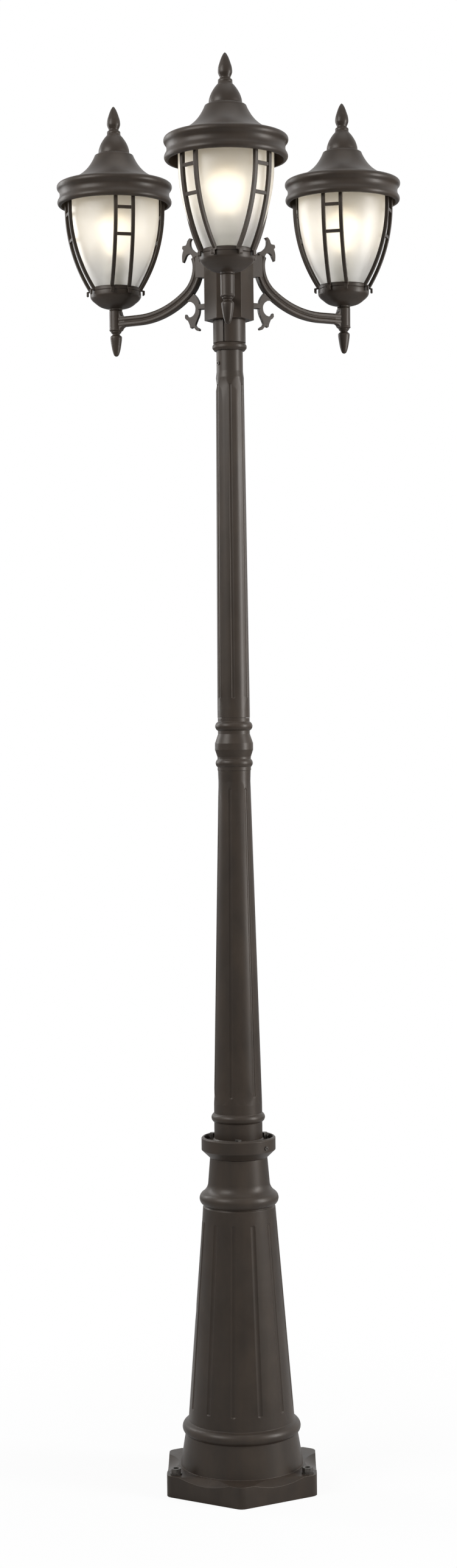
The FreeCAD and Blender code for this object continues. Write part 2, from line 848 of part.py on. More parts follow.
def shaft_knuckle(doc, d):
    """Turned coupling between the shafts: two beads with a barrel between them, on a plain sleeve."""
    waist = d.knuckle_waist_radius
    neck = d.knuckle_neck_radius
    bottom = d.knuckle_bottom_z
    sleeve = d.upper_bore_radius + d.knuckle_sleeve_wall
    return turned(
        doc,
        "shaft_knuckle",
        [
            (d.upper_bore_radius, bottom - d.knuckle_sleeve_length),
            (sleeve, bottom - d.knuckle_sleeve_length),
            (sleeve, bottom),
            (waist, bottom),
            (waist, bottom + d.knuckle_lower_bead_foot),
            (waist, bottom + d.knuckle_lower_bead_head, d.knuckle_bead_round),
            (waist, bottom + d.knuckle_barrel_foot),
            (d.knuckle_barrel_radius, bottom + d.knuckle_barrel_low),
            (d.knuckle_barrel_radius, bottom + d.knuckle_barrel_high),
            (neck, bottom + d.knuckle_barrel_head),
            (neck, bottom + d.knuckle_upper_bead_foot),
            (neck, bottom + d.knuckle_upper_bead_head, d.knuckle_bead_round),
            (neck, d.knuckle_top_z),
            (sleeve, d.knuckle_top_z),
            (sleeve, d.knuckle_top_z + d.knuckle_sleeve_length),
            (d.upper_bore_radius, d.knuckle_top_z + d.knuckle_sleeve_length),
        ],
    )


def upper_shaft(doc, d):
    """Slender tapered shaft with six flutes and a plain neck that runs up into the hub."""
    body = new_body(doc, "upper_shaft")
    bore = d.upper_bore_radius + d.sleeve_room
    revolve(
        body,
        "shaft",
        [
            (bore, d.upper_shaft_foot_z),
            (d.upper_shaft_foot_radius, d.upper_shaft_foot_z),
            (d.upper_shaft_foot_radius, d.upper_shaft_foot_z + 16.0),
            (d.upper_shaft_top_radius, d.upper_shaft_top_z),
            (d.shaft_neck_radius, d.shaft_neck_z),
            (d.shaft_neck_radius, d.shaft_neck_top_z),
            (d.upper_bore_radius, d.shaft_neck_top_z),
            (d.upper_bore_radius, d.upper_shaft_top_z),
            (bore - 1.5, d.upper_shaft_foot_z + 62.0),
            (bore, d.upper_shaft_foot_z + 60.0),
        ],
    )
    shaft_flutes(body, d, "upper_flute", d.upper_flute_turn)
    return body


def fitter_ring(doc, d):
    """Beaded ring that the fitter sleeve stands on."""
    inner = d.shaft_neck_radius + d.fit_gap
    return turned(
        doc,
        "fitter_ring",
        [
            (inner, d.ring_bottom_z),
            (d.ring_radius - 3.5, d.ring_bottom_z),
            (d.ring_radius, d.ring_bottom_z + 4.5),
            (d.ring_radius, d.ring_top_z - 5.0),
            (d.ring_radius - 3.0, d.ring_top_z),
            (inner, d.ring_top_z),
        ],
    )


def fitter_sleeve(doc, d):
    """Split sleeve that closes on the neck of the upper shaft under the hub."""
    body = new_body(doc, "fitter_sleeve")
    revolve(
        body,
        "sleeve",
        ring_section(d.shaft_neck_radius + d.fit_gap, d.fitter_radius, d.ring_top_z + 0.2, d.fitter_top_z),
    )
    half = d.fitter_slit * 0.5
    slit = new_sketch(body, "slit_outline", "XY_Plane")
    draw_outline(
        slit,
        [
            (d.shaft_neck_radius - 2.0, -half),
            (d.fitter_radius + 3.0, -half),
            (d.fitter_radius + 3.0, half),
            (d.shaft_neck_radius - 2.0, half),
        ],
    )
    extrude(body, "slit", slit, cut=True, reverse=True)
    place(body, -109.0)
    return body


def hub(doc, d):
    """Hollow hexagonal hub: three of its six flats carry the arms."""
    body = new_body(doc, "hub")
    outline = new_sketch(body, "hub_outline", "XY_Plane", d.hub_bottom_z)
    draw_outline(outline, polygon_corners(d.hub_corner_radius, 6, 30))
    extrude(body, "prism", outline, d.hub_top_z - d.hub_bottom_z)
    floor = d.hub_bottom_z + d.hub_floor
    open_top = d.hub_top_z + PAST
    revolve(
        body,
        "chamber",
        [(0, floor), (d.hub_bore_radius, floor), (d.hub_bore_radius, open_top), (0, open_top)],
        cut=True,
    )
    neck = d.shaft_neck_radius + d.fit_gap
    revolve(
        body,
        "neck_hole",
        [
            (0, d.hub_bottom_z - PAST),
            (neck, d.hub_bottom_z - PAST),
            (neck, floor + PAST),
            (0, floor + PAST),
        ],
        cut=True,
    )
    screw_holes = new_sketch(body, "screw_holes", "YZ_Plane")
    for level in arm_screw_levels(d):
        draw_circle(screw_holes, as_size(0), level, d.arm_screw_radius + d.fit_gap)
    holes = extrude(body, "arm_screw_holes", screw_holes, d.hub_corner_radius + 2.0, cut=True, reverse=True)
    polar(body, "all_screw_holes", [holes], as_size(3))
    place(body, 30.0)
    return body


def arm_screw_levels(d):
    """Heights of the two screws that hold each arm."""
    return ((d.foot_top_z + d.foot_bottom_z) * 0.5, d.stub_z)


def arm_screws(doc, d):
    """Hexagon screws from inside the hub into the six seats of the three arms, one node of six solids."""
    wall = d.hub_bore_radius.value
    across = FreeCAD.Vector(1, 0, 0)
    solids = []
    for turn in ARMS.values():
        for level in arm_screw_levels(d):
            start = FreeCAD.Vector(wall - 0.5, 0, level.value)
            shank = Part.makeCylinder(d.arm_screw_radius.value, d.arm_screw_length.value, start, across)
            head = hexagon_bar(d.arm_screw_head_width.value, d.arm_screw_head_height.value)
            head.rotate(FreeCAD.Vector(), FreeCAD.Vector(0, 1, 0), 90)
            head.translate(FreeCAD.Vector(wall - d.arm_screw_head_inset.value, 0, level.value))
            screw = shank.fuse(head).removeSplitter()
            screw.rotate(FreeCAD.Vector(), FreeCAD.Vector(0, 0, 1), turn)
            solids.append(screw)
    return grouped(doc, "arm_screws", solids)


def hexagon_bar(across_flats, length, bore=0.0):
    """An upright hexagonal bar on the XY plane, bored if asked."""
    corner = across_flats / math.sqrt(3)
    points = [
        FreeCAD.Vector(corner * math.cos(math.radians(60 * k)), corner * math.sin(math.radians(60 * k)), 0)
        for k in range(7)
    ]
    bar = Part.Face(Part.makePolygon(points)).extrude(FreeCAD.Vector(0, 0, length))
    if bore:
        bar = bar.cut(Part.makeCylinder(bore, length + 2, FreeCAD.Vector(0, 0, -1)))
    return bar


def hexagon_nut(across_flats, length, bore):
    """A hexagon nut whose corners are turned off at both faces."""
    corner = across_flats / math.sqrt(3)
    height = 1.5 / math.sqrt(3)
    turning = Part.makeCone(corner - 0.9, corner + 0.6, height)
    middle = Part.makeCylinder(corner + 0.6, length - 2 * height, FreeCAD.Vector(0, 0, height))
    top = Part.makeCone(corner + 0.6, corner - 0.9, height, FreeCAD.Vector(0, 0, length - height))
    envelope = turning.fuse([middle, top])
    return hexagon_bar(across_flats, length, bore).common(envelope).removeSplitter()


def grouped(doc, label, solids):
    """One node of identical loose solids."""
    feature = doc.addObject("Part::Feature", label)
    feature.Label = label
    feature.Shape = Part.makeCompound(solids)
    return feature


def hub_cap(doc, d):
    """Low hexagonal cap with a small dome over the hub; the front lantern hides it in most views."""
    body = new_body(doc, "hub_cap")
    outline = new_sketch(body, "cap_outline", "XY_Plane", d.hub_top_z)
    draw_outline(outline, polygon_corners(d.hub_corner_radius + d.cap_overhang, 6, 30))
    extrude(body, "cap_plate", outline, d.cap_edge)
    top = d.hub_top_z + d.cap_edge
    revolve(
        body,
        "cap_dome",
        [
            (0, top - 2.0),
            (d.cap_dome_radius + d.cap_wall, top - 2.0),
            (d.cap_dome_radius + d.cap_wall, top),
            (d.cap_dome_radius - 4.0, d.cap_top_z - d.cap_wall),
            (d.finial_ring_radius, d.cap_top_z),
            (0, d.cap_top_z),
        ],
    )
    spigot = d.hub_bore_radius - d.part_gap
    spigot_end = d.hub_top_z - d.cap_spigot_depth
    revolve(
        body,
        "cap_spigot",
        [
            (0, spigot_end),
            (spigot, spigot_end),
            (spigot, d.hub_top_z + 1.0),
            (0, d.hub_top_z + 1.0),
        ],
    )
    revolve(
        body,
        "cap_hollow",
        [
            (0, spigot_end - PAST),
            (spigot - d.cap_spigot_wall, spigot_end - PAST),
            (spigot - d.cap_spigot_wall, d.hub_top_z + 2.0),
            (d.finial_ring_radius, d.cap_top_z - d.cap_wall),
            (0, d.cap_top_z - d.cap_wall),
        ],
        cut=True,
    )
    hole = d.stud_radius + d.fit_gap
    low = d.cap_top_z - d.cap_wall - PAST
    high = d.cap_top_z + PAST
    revolve(body, "cap_stud_hole", [(0, low), (hole, low), (hole, high), (0, high)], cut=True)
    place(body, 30.0)
    return body


def tie_tube(doc, d):
    """Threaded steel tube that pulls the post together and carries the cable up to the hub."""
    return turned(doc, "tie_tube", ring_section(d.tie_bore_radius, d.tie_radius, d.tie_bottom_z, d.tie_top_z))


def tie_washers(doc, d):
    """Plates between the tie nuts and the castings: under the diaphragm and on the shaft's neck."""
    solids = []
    thickness = d.tie_washer_thickness.value
    bore = d.tie_radius.value + d.part_gap.value
    lower = (d.diaphragm_z.value - thickness, d.tie_lower_washer_radius.value)
    upper = (d.shaft_neck_top_z.value, d.tie_upper_washer_radius.value)
    for bottom, radius in (lower, upper):
        solids.append(washer(radius, bore, thickness, bottom))
    return grouped(doc, "tie_washers", solids)


def washer(radius, bore, thickness, bottom):
    ring = Part.makeCylinder(radius, thickness, FreeCAD.Vector(0, 0, bottom))
    return ring.cut(Part.makeCylinder(bore, thickness + 2, FreeCAD.Vector(0, 0, bottom - 1)))


def tie_nuts(doc, d):
    """The two thin hexagon nuts of the tie tube."""
    solids = []
    height = d.tie_nut_height.value
    thickness = d.tie_washer_thickness.value
    for bottom in (d.diaphragm_z.value - thickness - height, d.shaft_neck_top_z.value + thickness):
        nut = hexagon_nut(d.tie_nut_width.value, height, d.tie_radius.value + THREAD_GAP)
        nut.translate(FreeCAD.Vector(0, 0, bottom))
        solids.append(nut)
    return grouped(doc, "tie_nuts", solids)


def terminal_block(doc, d):
    """Three-pole terminal block on the wall of the hub chamber, above the arms' wires."""
    length, width, height = d.block_length.value, d.block_width.value, d.block_height.value
    back, bottom = -d.block_back.value, d.block_z.value
    block = Part.makeBox(length, width, height, FreeCAD.Vector(-length / 2, back, bottom))
    well_depth = 5.5
    well_bottom = bottom + height - well_depth
    for pole in (-1, 0, 1):
        for side in (0.25, 0.75):
            spot = FreeCAD.Vector(pole * d.block_pitch.value, back + width * side, well_bottom)
            block = block.cut(Part.makeCylinder(d.block_well_radius.value, well_depth + PAST, spot))
    block.rotate(FreeCAD.Vector(), FreeCAD.Vector(0, 0, 1), 180.0)
    return grouped(doc, "terminal_block", [block])


def anchor_washers(doc, d):
    """Washers of the three anchor bolts; the bolts themselves belong to the ground."""
    bore = d.anchor_hole_radius.value - 0.25
    solids = []
    for corner in polygon_corners(d.anchor_circle_radius, 3, -30):
        ring = washer(d.anchor_washer_radius.value, bore, d.anchor_washer_thickness.value, 0.0)
        ring.translate(FreeCAD.Vector(corner[0].value, corner[1].value, d.plate_height.value))
        solids.append(ring)
    return grouped(doc, "anchor_washers", solids)


def anchor_nuts(doc, d):
    """Hexagon nuts of the three anchor bolts."""
    solids = []
    seat = (d.plate_height + d.anchor_washer_thickness).value
    bore = d.anchor_bolt_radius.value + THREAD_GAP
    for number, corner in enumerate(polygon_corners(d.anchor_circle_radius, 3, -30)):
        nut = hexagon_nut(d.anchor_nut_width.value, d.anchor_nut_height.value, bore)
        nut.rotate(FreeCAD.Vector(), FreeCAD.Vector(0, 0, 1), 17.0 * number)
        nut.translate(FreeCAD.Vector(corner[0].value, corner[1].value, seat))
        solids.append(nut)
    return grouped(doc, "anchor_nuts", solids)


def collar_screws(doc, d):
    """Three hexagon screws that stand in the dished top of the collar."""
    solids = []
    face_height = d.collar_screw_face_height.value
    for turn in ARMS.values():
        screw = hexagon_nut(d.collar_screw_width.value, d.collar_screw_height.value, 0.0)
        screw.translate(FreeCAD.Vector(0, 0, face_height))
        screw = screw.fuse(Part.makeCylinder(d.collar_screw_face_radius.value, face_height))
        screw.translate(FreeCAD.Vector(d.collar_screw_circle.value, 0, d.collar_dish_z.value))
        screw.rotate(FreeCAD.Vector(), FreeCAD.Vector(0, 0, 1), turn)
        solids.append(screw)
    return grouped(doc, "collar_screws", solids)


def grub_screws(doc, d):
    """Socket grub screws: one in the collar's side, one in the neck of the upper shaft."""
    collar = (ARMS["front"] + 48.0, d.collar_radius.value, d.collar_grub_z.value)
    neck = (ARMS["front"] - 57.0, d.shaft_neck_radius.value, d.neck_grub_z.value)
    return grouped(doc, "grub_screws", [grub_screw(*spot) for spot in (collar, neck)])


def grub_screw(turn, radius, level):
    """A short dome-headed screw that stands on the wall; its shank stays out of the model."""
    head = Part.makeCylinder(3.6, 2.4, FreeCAD.Vector(radius - 0.6, 0, level), FreeCAD.Vector(1, 0, 0))
    socket = hexagon_bar(3.2, 2.0)
    socket.rotate(FreeCAD.Vector(), FreeCAD.Vector(0, 1, 0), 90)
    socket.translate(FreeCAD.Vector(radius + 0.6, 0, level))
    head = head.cut(socket)
    wall = Part.makeCylinder(radius + 0.02, 20.0, FreeCAD.Vector(0, 0, level - 10.0))
    head = head.cut(wall)
    head.rotate(FreeCAD.Vector(), FreeCAD.Vector(0, 0, 1), turn)
    return head


# ---------------------------------------------------------------- the arm


def arm_path(d):
    """Corners and radii of the arm's centre line: level run, long sweep, tighter turn and curled tip."""
    level = d.tip_z.value - d.arm_depth.value
    sweep = math.radians(d.sweep_degrees.value)
    start = FreeCAD.Vector(d.arm_reach.value - 6.0, level, 0)
    bend = FreeCAD.Vector(d.arm_straight_end.value, level, 0)
    sweep_radius = d.sweep_radius.value
    sweep_rise = sweep_radius * (1 - math.cos(sweep))
    turn = FreeCAD.Vector(bend.x - sweep_radius * math.sin(sweep), level + sweep_rise, 0)
    turn_radius = d.turn_radius.value
    turn_in = turn_radius * (1 - math.sin(sweep))
    back = FreeCAD.Vector(turn.x - turn_in, turn.y + turn_radius * math.cos(sweep), 0)
    curl = math.radians(d.curl_degrees.value)
    curl_radius = d.curl_radius.value
    curl_out = curl_radius * (1 - math.cos(curl))
    tip = FreeCAD.Vector(back.x + curl_out, back.y + curl_radius * math.sin(curl), 0)
    return start, bend, turn, back, tip


def draw_path(sketch, points, radii):
    """An open chain of lines and tangent arcs; a radius of None makes a straight run."""
    for number, radius in enumerate(radii):
        start, end = points[number], points[number + 1]
        if radius is None:
            edge = sketch.addGeometry(Part.LineSegment(start, end), False)
            ends = (1, 2)
        else:
            edge = sketch.addGeometry(arc_between(start, end, -radius.value), False)
            turned_round = (sketch.getPoint(edge, 1) - start).Length > 1e-6
            ends = (2, 1) if turned_round else (1, 2)
            pin_value(sketch, "Radius", (edge,), radius)
        if number == 0:
            pin_point(sketch, edge, ends[0], as_size(start.x), as_size(start.y))
        else:
            sketch.addConstraint(Sketcher.Constraint("Coincident", before[0], before[1], edge, ends[0]))
        pin_point(sketch, edge, ends[1], as_size(end.x), as_size(end.y))
        before = (edge, ends[1])


def arm(doc, d, name, turn):
    """Arm casting: grooved C-shaped arm, upright boss, seats on the hub, scroll and two leaf sprays."""
    body = new_body(doc, f"arm_{name}")
    points = arm_path(d)
    path = new_sketch(body, "arm_line")
    draw_path(path, points, [None, d.sweep_radius, d.turn_radius, d.curl_radius])
    arm_pipe(body, d, path, points[0].x)
    arm_seats(body, d, points[3])
    leafwork(body, "scroll", d, (d.scroll_centre_reach, d.scroll_centre_z), SCROLL_CORNERS)
    leafwork(body, "spray", d, (d.spray_centre_reach, d.spray_centre_z), SPRAY_CORNERS)
    boss_web(body, d)
    arm_boss(body, d)
    place(body, turn)
    return body


def arm_pipe(body, d, path, start):
    """The arm itself: a rounded bar with a groove along each side, drawn along its line."""
    section = new_sketch(body, "arm_section", "YZ_Plane", as_size(start))
    level = d.tip_z - d.arm_depth
    high = level + d.arm_half_height
    low = level - d.arm_half_height
    wide = d.arm_half_width
    draw_outline(
        section,
        [
            (wide - 2.0, high),
            (-(wide - 2.0), high),
            (-wide, high - 2.5),
            (-wide, level + 3.0),
            (-(wide - d.arm_groove), level),
            (-wide, level - 3.0),
            (-wide, low + 2.5),
            (-(wide - 2.0), low),
            (wide - 2.0, low),
            (wide, low + 2.5),
            (wide, level - 3.0),
            (wide - d.arm_groove, level),
            (wide, level + 3.0),
            (wide, high - 2.5),
        ],
    )
    pipe = body.newObject("PartDesign::AdditivePipe", "arm_sweep")
    pipe.Profile = (section, [""])
    pipe.Spine = (path, [""])
    pipe.Transition = "Transformed"


def arm_seats(body, d, back):
    """Two seats against the hub's flat: a tall one behind the arm and a stub from the scroll."""
    flat = d.hub_corner_radius * math.cos(math.radians(30)) + 0.05
    slab(
        body,
        "upper_seat",
        [
            (flat, d.foot_bottom_z),
            (as_size(back.x + 2.0), d.foot_bottom_z + 3.0),
            (as_size(back.x + 2.0), d.foot_top_z - 6.0),
            (flat, d.foot_top_z),
        ],
        d.foot_half_width * 2.0,
    )
    inner = d.scroll_centre_reach - d.scroll_back
    slab(
        body,
        "lower_seat",
        [
            (flat, d.stub_z - d.stub_half_height - 1.5),
            (flat + 8.0, d.stub_z - d.stub_half_height),
            (inner + 2.0, d.stub_z - d.stub_half_height),
            (inner + 2.0, d.stub_z + d.stub_half_height),
            (flat + 8.0, d.stub_z + d.stub_half_height),
            (flat, d.stub_z + d.stub_half_height + 1.5),
        ],
        d.foot_half_width * 1.5,
    )
    holes = new_sketch(body, "seat_holes", "YZ_Plane", flat)
    for level in arm_screw_levels(d):
        draw_circle(holes, as_size(0), level, d.arm_screw_radius + THREAD_GAP)
    extrude(body, "seat_hole", holes, d.arm_screw_length - 4.0, cut=True, reverse=True)


def leafwork(body, name, d, centre, corners):
    """Flat cast ornament with pointed leaves, in the arm's own plane."""
    outline = []
    for across, up, *radius in corners:
        spot = (centre[0] + d.scroll_scale * across, centre[1] + d.scroll_scale * up)
        outline.append((*spot, d.scroll_scale * radius[0]) if radius else spot)
    slab(body, name, outline, d.leaf_thickness)


def boss_web(body, d):
    """Hollowed webs that spread the arm's end over the side of the boss."""
    level = d.tip_z - d.arm_depth
    side = d.arm_reach - (d.stem_radius - 0.7)
    far = d.arm_reach - d.web_reach
    half = d.arm_half_height - 0.4
    slab(
        body,
        "boss_web",
        [
            (d.arm_reach - 7.0, level - d.web_foot),
            (d.arm_reach - 7.0, level + d.web_top),
            (side, level + d.web_top),
            (far, level + half, -d.web_round),
            (far, level - half),
            (side, level - d.web_foot, -d.web_round),
        ],
        d.arm_half_width * 2.0 - 1.6,
    )


def arm_boss(body, d):
    """Upright boss at the arm's end with two ring beads and the hole for the threaded tube."""
    top = depth(d, "arm_boss_depth")
    bottom = depth(d, "drop_top_depth")
    outline = [
        (0, bottom),
        (d.stem_radius - 1.5, bottom),
        (d.stem_radius + 0.4, bottom + 1.8),
        (d.stem_radius - 0.2, bottom + 4.5),
        (d.stem_radius, top - 2.0),
        (d.stem_radius - 0.8, top),
        (0, top),
    ]
    sketch = new_sketch(body, "boss_section")
    reach = d.arm_reach
    draw_outline(sketch, [(reach + c[0], c[1]) for c in outline])
    turn_about_boss(body, "boss", sketch, d, cut=False)
    hole = new_sketch(body, "boss_hole_section")
    bore = d.nipple_radius + d.fit_gap
    low = bottom - PAST
    high = top + PAST
    draw_outline(hole, [(reach, low), (reach + bore, low), (reach + bore, high), (reach, high)])
    turn_about_boss(body, "boss_hole", hole, d, cut=True)


def turn_about_boss(body, name, sketch, d, cut):
    """Turns a section about the lantern's axis, at the end of the arm."""
    reach = d.arm_reach
    low = FreeCAD.Vector(reach.value, 0, 0)
    high = FreeCAD.Vector(reach.value, 100, 0)
    axis = sketch.addGeometry(Part.LineSegment(low, high), True)
    pin_point(sketch, axis, 1, reach, as_size(0))
    pin_point(sketch, axis, 2, reach, as_size(100))
    feature = body.newObject("PartDesign::Groove" if cut else "PartDesign::Revolution", name)
    feature.Profile = (sketch, [""])
    feature.ReferenceAxis = (sketch, ["Axis0"])
    feature.Angle = 360


# ---------------------------------------------------------------- the lantern


def finial(doc, d, label, foot):
    """Acorn finial with a ring at its foot and a blind bore for the stud."""
    tip = foot + d.roof_top_depth
    bore = d.stud_radius + d.stud_gap
    return turned(
        doc,
        label,
        [
            (bore, foot),
            (d.finial_ring_radius, foot),
            (d.finial_ring_radius, foot + 4.5),
            (d.finial_neck_radius, foot + 6.2),
            (d.finial_neck_radius, tip - d.finial_neck_depth),
            (d.acorn_radius, tip - d.acorn_depth),
            (d.acorn_shoulder_radius, tip - d.acorn_shoulder_depth),
            (d.acorn_point_radius, tip - d.acorn_point_depth),
            (0, tip),
            (0, tip - (d.stud_top_depth - 1.8)),
            (bore, tip - (d.stud_top_depth - 1.8)),
        ],
    )


def drop_finial(doc, d, name):
    """Drop finial under the arm's boss: the nut that draws cup, arm and threaded tube together."""
    bore = d.nipple_radius + d.fit_gap
    top = depth(d, "drop_top_depth") - 0.2
    floor = top - d.drop_bore_depth
    return turned(
        doc,
        f"drop_finial_{name}",
        [
            (bore, floor),
            (bore, top),
            (d.drop_flange_radius, top),
            (d.drop_flange_radius, top - 2.0),
            (d.drop_neck_radius, depth(d, "drop_neck_depth")),
            (d.drop_radius, depth(d, "drop_shoulder_depth")),
            (d.drop_radius, depth(d, "drop_shoulder_depth") - 3.0),
            (d.drop_belly_radius, depth(d, "drop_belly_depth")),
            (d.drop_point_radius, depth(d, "drop_point_depth")),
            (0, depth(d, "drop_tip_depth")),
            (0, floor),
        ],
    )


def roof(doc, d, name):
    """Cast roof shell: small dome, step, concave skirt, and a rim of rounded lip, cove and lower lip."""
    top = depth(d, "roof_top_depth")
    inner_rim = d.rim_inner_radius
    rim_bottom = depth(d, "rim_bottom_depth")
    return turned(
        doc,
        f"roof_{name}",
        [
            (d.stud_radius + 0.5, top),
            (d.roof_crown_radius - 0.4, top),
            (d.roof_crown_radius, depth(d, "roof_crown_depth")),
            (d.dome_upper_radius, depth(d, "dome_upper_depth")),
            (d.dome_middle_radius, depth(d, "dome_middle_depth")),
            (d.dome_radius, depth(d, "dome_depth")),
            (d.dome_radius, depth(d, "step_depth")),
            (d.skirt_top_radius, depth(d, "skirt_top_depth")),
            (d.skirt_radius, depth(d, "skirt_depth")),
            (d.brim_radius, depth(d, "brim_depth"), d.brim_round),
            (d.lip_radius, depth(d, "lip_top_depth")),
            (d.lip_crest_radius, depth(d, "lip_crest_top_depth")),
            (d.lip_crest_radius, depth(d, "lip_crest_bottom_depth")),
            (d.lip_radius + 1.0, depth(d, "lip_bottom_depth")),
            (d.cove_radius, depth(d, "cove_top_depth")),
            (d.cove_radius, depth(d, "cove_bottom_depth")),
            (d.rim_radius, depth(d, "rim_top_depth")),
            (d.rim_radius, rim_bottom + 2.5),
            (d.rim_radius - 2.5, rim_bottom),
            (inner_rim, rim_bottom),
            (inner_rim, depth(d, "lip_top_depth") - 5.5),
            (d.skirt_radius + 10.0, depth(d, "skirt_depth") - 20.0),
            (d.skirt_radius - d.roof_wall, depth(d, "skirt_depth") - 1.0),
            (d.dome_radius - 3.0, depth(d, "step_depth") - 2.0),
            (d.dome_radius - d.roof_wall, depth(d, "dome_middle_depth") - 2.0),
            (d.roof_crown_radius - 1.5, depth(d, "roof_crown_depth") - d.roof_wall),
            (d.stud_radius + 0.5, depth(d, "roof_crown_depth") - d.roof_wall),
        ],
    )


def cage(doc, d, name):
    """Cage casting: top ring, seat ring and four ladders of two curved bars with two rungs each."""
    body = new_body(doc, f"cage_{name}")
    ring_top = depth(d, "cage_ring_depth")
    ring_bottom = ring_top - d.cage_ring_height
    revolve(
        body,
        "top_ring",
        ring_section(d.cage_ring_inner_radius, d.cage_ring_radius, ring_bottom, ring_top),
    )
    seat_top = depth(d, "seat_ring_depth")
    revolve(
        body,
        "seat_ring",
        [
            (d.seat_ring_inner_radius, seat_top - d.seat_ring_height),
            (d.seat_ring_radius, seat_top - d.seat_ring_height),
            (d.seat_ring_radius, seat_top - 1.8),
            (d.seat_ring_radius - 1.8, seat_top),
            (d.seat_ring_inner_radius, seat_top),
        ],
    )
    bars = [ladder_bar(body, d, side) for side in (-1, 1)]
    levels = {"upper_rung": d.rung_upper_depth, "lower_rung": d.rung_lower_depth}
    rungs = [ladder_rung(body, d, label, level) for label, level in levels.items()]
    polar(body, "ladders", bars + rungs, as_size(4))
    lantern_place(body, d, name, 45.0)
    return body


def ladder_bar(body, d, side):
    """One curved bar: straight under the roof, then bent in to a foot that hooks over the cup's rim."""
    label = "left_bar" if side < 0 else "right_bar"
    outer = d.bar_radius
    inner = d.bar_radius - d.bar_thickness
    bend = depth(d, "bar_curve_depth")
    end = depth(d, "bar_foot_depth")
    fall = d.bar_curve_depth.value - d.bar_foot_depth.value
    outer_in = d.bar_curve.value - math.sqrt(d.bar_curve.value ** 2 - fall ** 2)
    inner_curve = d.bar_curve - d.bar_thickness
    inner_in = inner_curve.value - math.sqrt(inner_curve.value ** 2 - fall ** 2)
    foot = d.bar_foot_radius
    foot_bottom = end - d.foot_height
    offset = (d.bar_spread * 0.5) * side
    return slab(
        body,
        label,
        [
            (inner, depth(d, "cage_ring_depth") - 1.0),
            (inner, bend),
            (inner - inner_in, end, -inner_curve),
            (d.seat_ring_radius - 2.0, end),
            (d.seat_ring_radius - 2.0, end - 1.0),
            (d.cup_rim_radius + 0.9, end - 1.2),
            (d.cup_rim_radius + 0.9, foot_bottom),
            (foot - 1.2, foot_bottom),
            (foot, foot_bottom + 1.5),
            (foot, end),
            (outer - outer_in, end + 1.0),
            (outer, bend, d.bar_curve + 0.5),
            (outer, depth(d, "cage_ring_depth") - 1.0),
        ],
        d.bar_width,
        offset=offset,
    )


def ladder_rung(body, d, label, level_depth):
    """A cross bar between the two curved bars of a ladder."""
    fall = max(level_depth.value - d.bar_curve_depth.value, 0.0)
    drop = d.bar_curve.value - math.sqrt(d.bar_curve.value ** 2 - fall ** 2)
    outer = d.bar_radius - (drop + 0.8)
    level = d.tip_z - level_depth
    half = d.rung_height * 0.5
    return slab(
        body,
        label,
        [
            (outer - (d.bar_thickness - 1.4), level - half),
            (outer, level - half),
            (outer, level + half),
            (outer - (d.bar_thickness - 1.4), level + half),
        ],
        d.bar_spread,
    )


def lantern_place(body, d, name, turn=0.0):
    """Carries a lantern piece to the end of its arm and turns it with the arm."""
    angle = math.radians(ARMS[name])
    reach = d.arm_reach
    rotation = FreeCAD.Rotation(FreeCAD.Vector(0, 0, 1), ARMS[name] + turn)
    base = FreeCAD.Vector(reach.value * math.cos(angle), reach.value * math.sin(angle), 0)
    body.Placement = FreeCAD.Placement(base, rotation)
    body.setExpression("Placement.Base.x", f"{reach.text} * {math.cos(angle):.9f}")
    body.setExpression("Placement.Base.y", f"{reach.text} * {math.sin(angle):.9f}")


def roof_bridge(doc, d, name):
    """Strap across the cage's top ring with the stud that the roof hangs on and its lock nut."""
    body = new_body(doc, f"roof_bridge_{name}")
    ring_top = depth(d, "cage_ring_depth")
    strap = new_sketch(body, "strap_outline", "XY_Plane", ring_top)
    half = d.strap_half_length
    side = d.strap_half_width
    draw_outline(strap, [(-half, -side), (half, -side), (half, side), (-half, side)])
    extrude(body, "strap", strap, d.strap_thickness)
    revolve(
        body,
        "stud",
        [
            (0, ring_top + 1.0),
            (d.stud_collar_radius, ring_top + 1.0),
            (d.stud_collar_radius, ring_top + 6.0),
            (d.stud_radius, ring_top + 9.0),
            (d.stud_radius, depth(d, "stud_top_depth") - 1.0),
            (d.stud_radius - 1.0, depth(d, "stud_top_depth")),
            (0, depth(d, "stud_top_depth")),
        ],
    )
    shoulder = depth(d, "roof_crown_depth") - d.roof_wall - d.part_gap
    nut = new_sketch(body, "lock_nut_outline", "XY_Plane", shoulder - d.lock_nut_height)
    draw_outline(nut, polygon_corners(d.lock_nut_corner_radius, 6, 0))
    extrude(body, "lock_nut", nut, d.lock_nut_height)
    lantern_place(body, d, name)
    return body


def glass(doc, d, name):
    """One-piece frosted bell: upright mouth, long convex taper in gentle steps and a short open foot."""
    wall = d.glass_wall
    taper = [(d.glass_radius, depth(d, "bar_curve_depth"))]
    for level in ("belly", "waist", "throat", "foot"):
        taper.append((getattr(d, f"glass_{level}_radius"), depth(d, f"glass_{level}_depth")))
    foot = (d.glass_foot_radius, depth(d, "glass_end_depth"))
    outside = [(d.glass_radius, depth(d, "glass_top_depth"))] + taper + [foot]
    inside = [(radius - wall, level) for radius, level in outside]
    body = turned(doc, f"glass_{name}", outside[::-1] + inside)
    lantern_place(body, d, name)
    return body


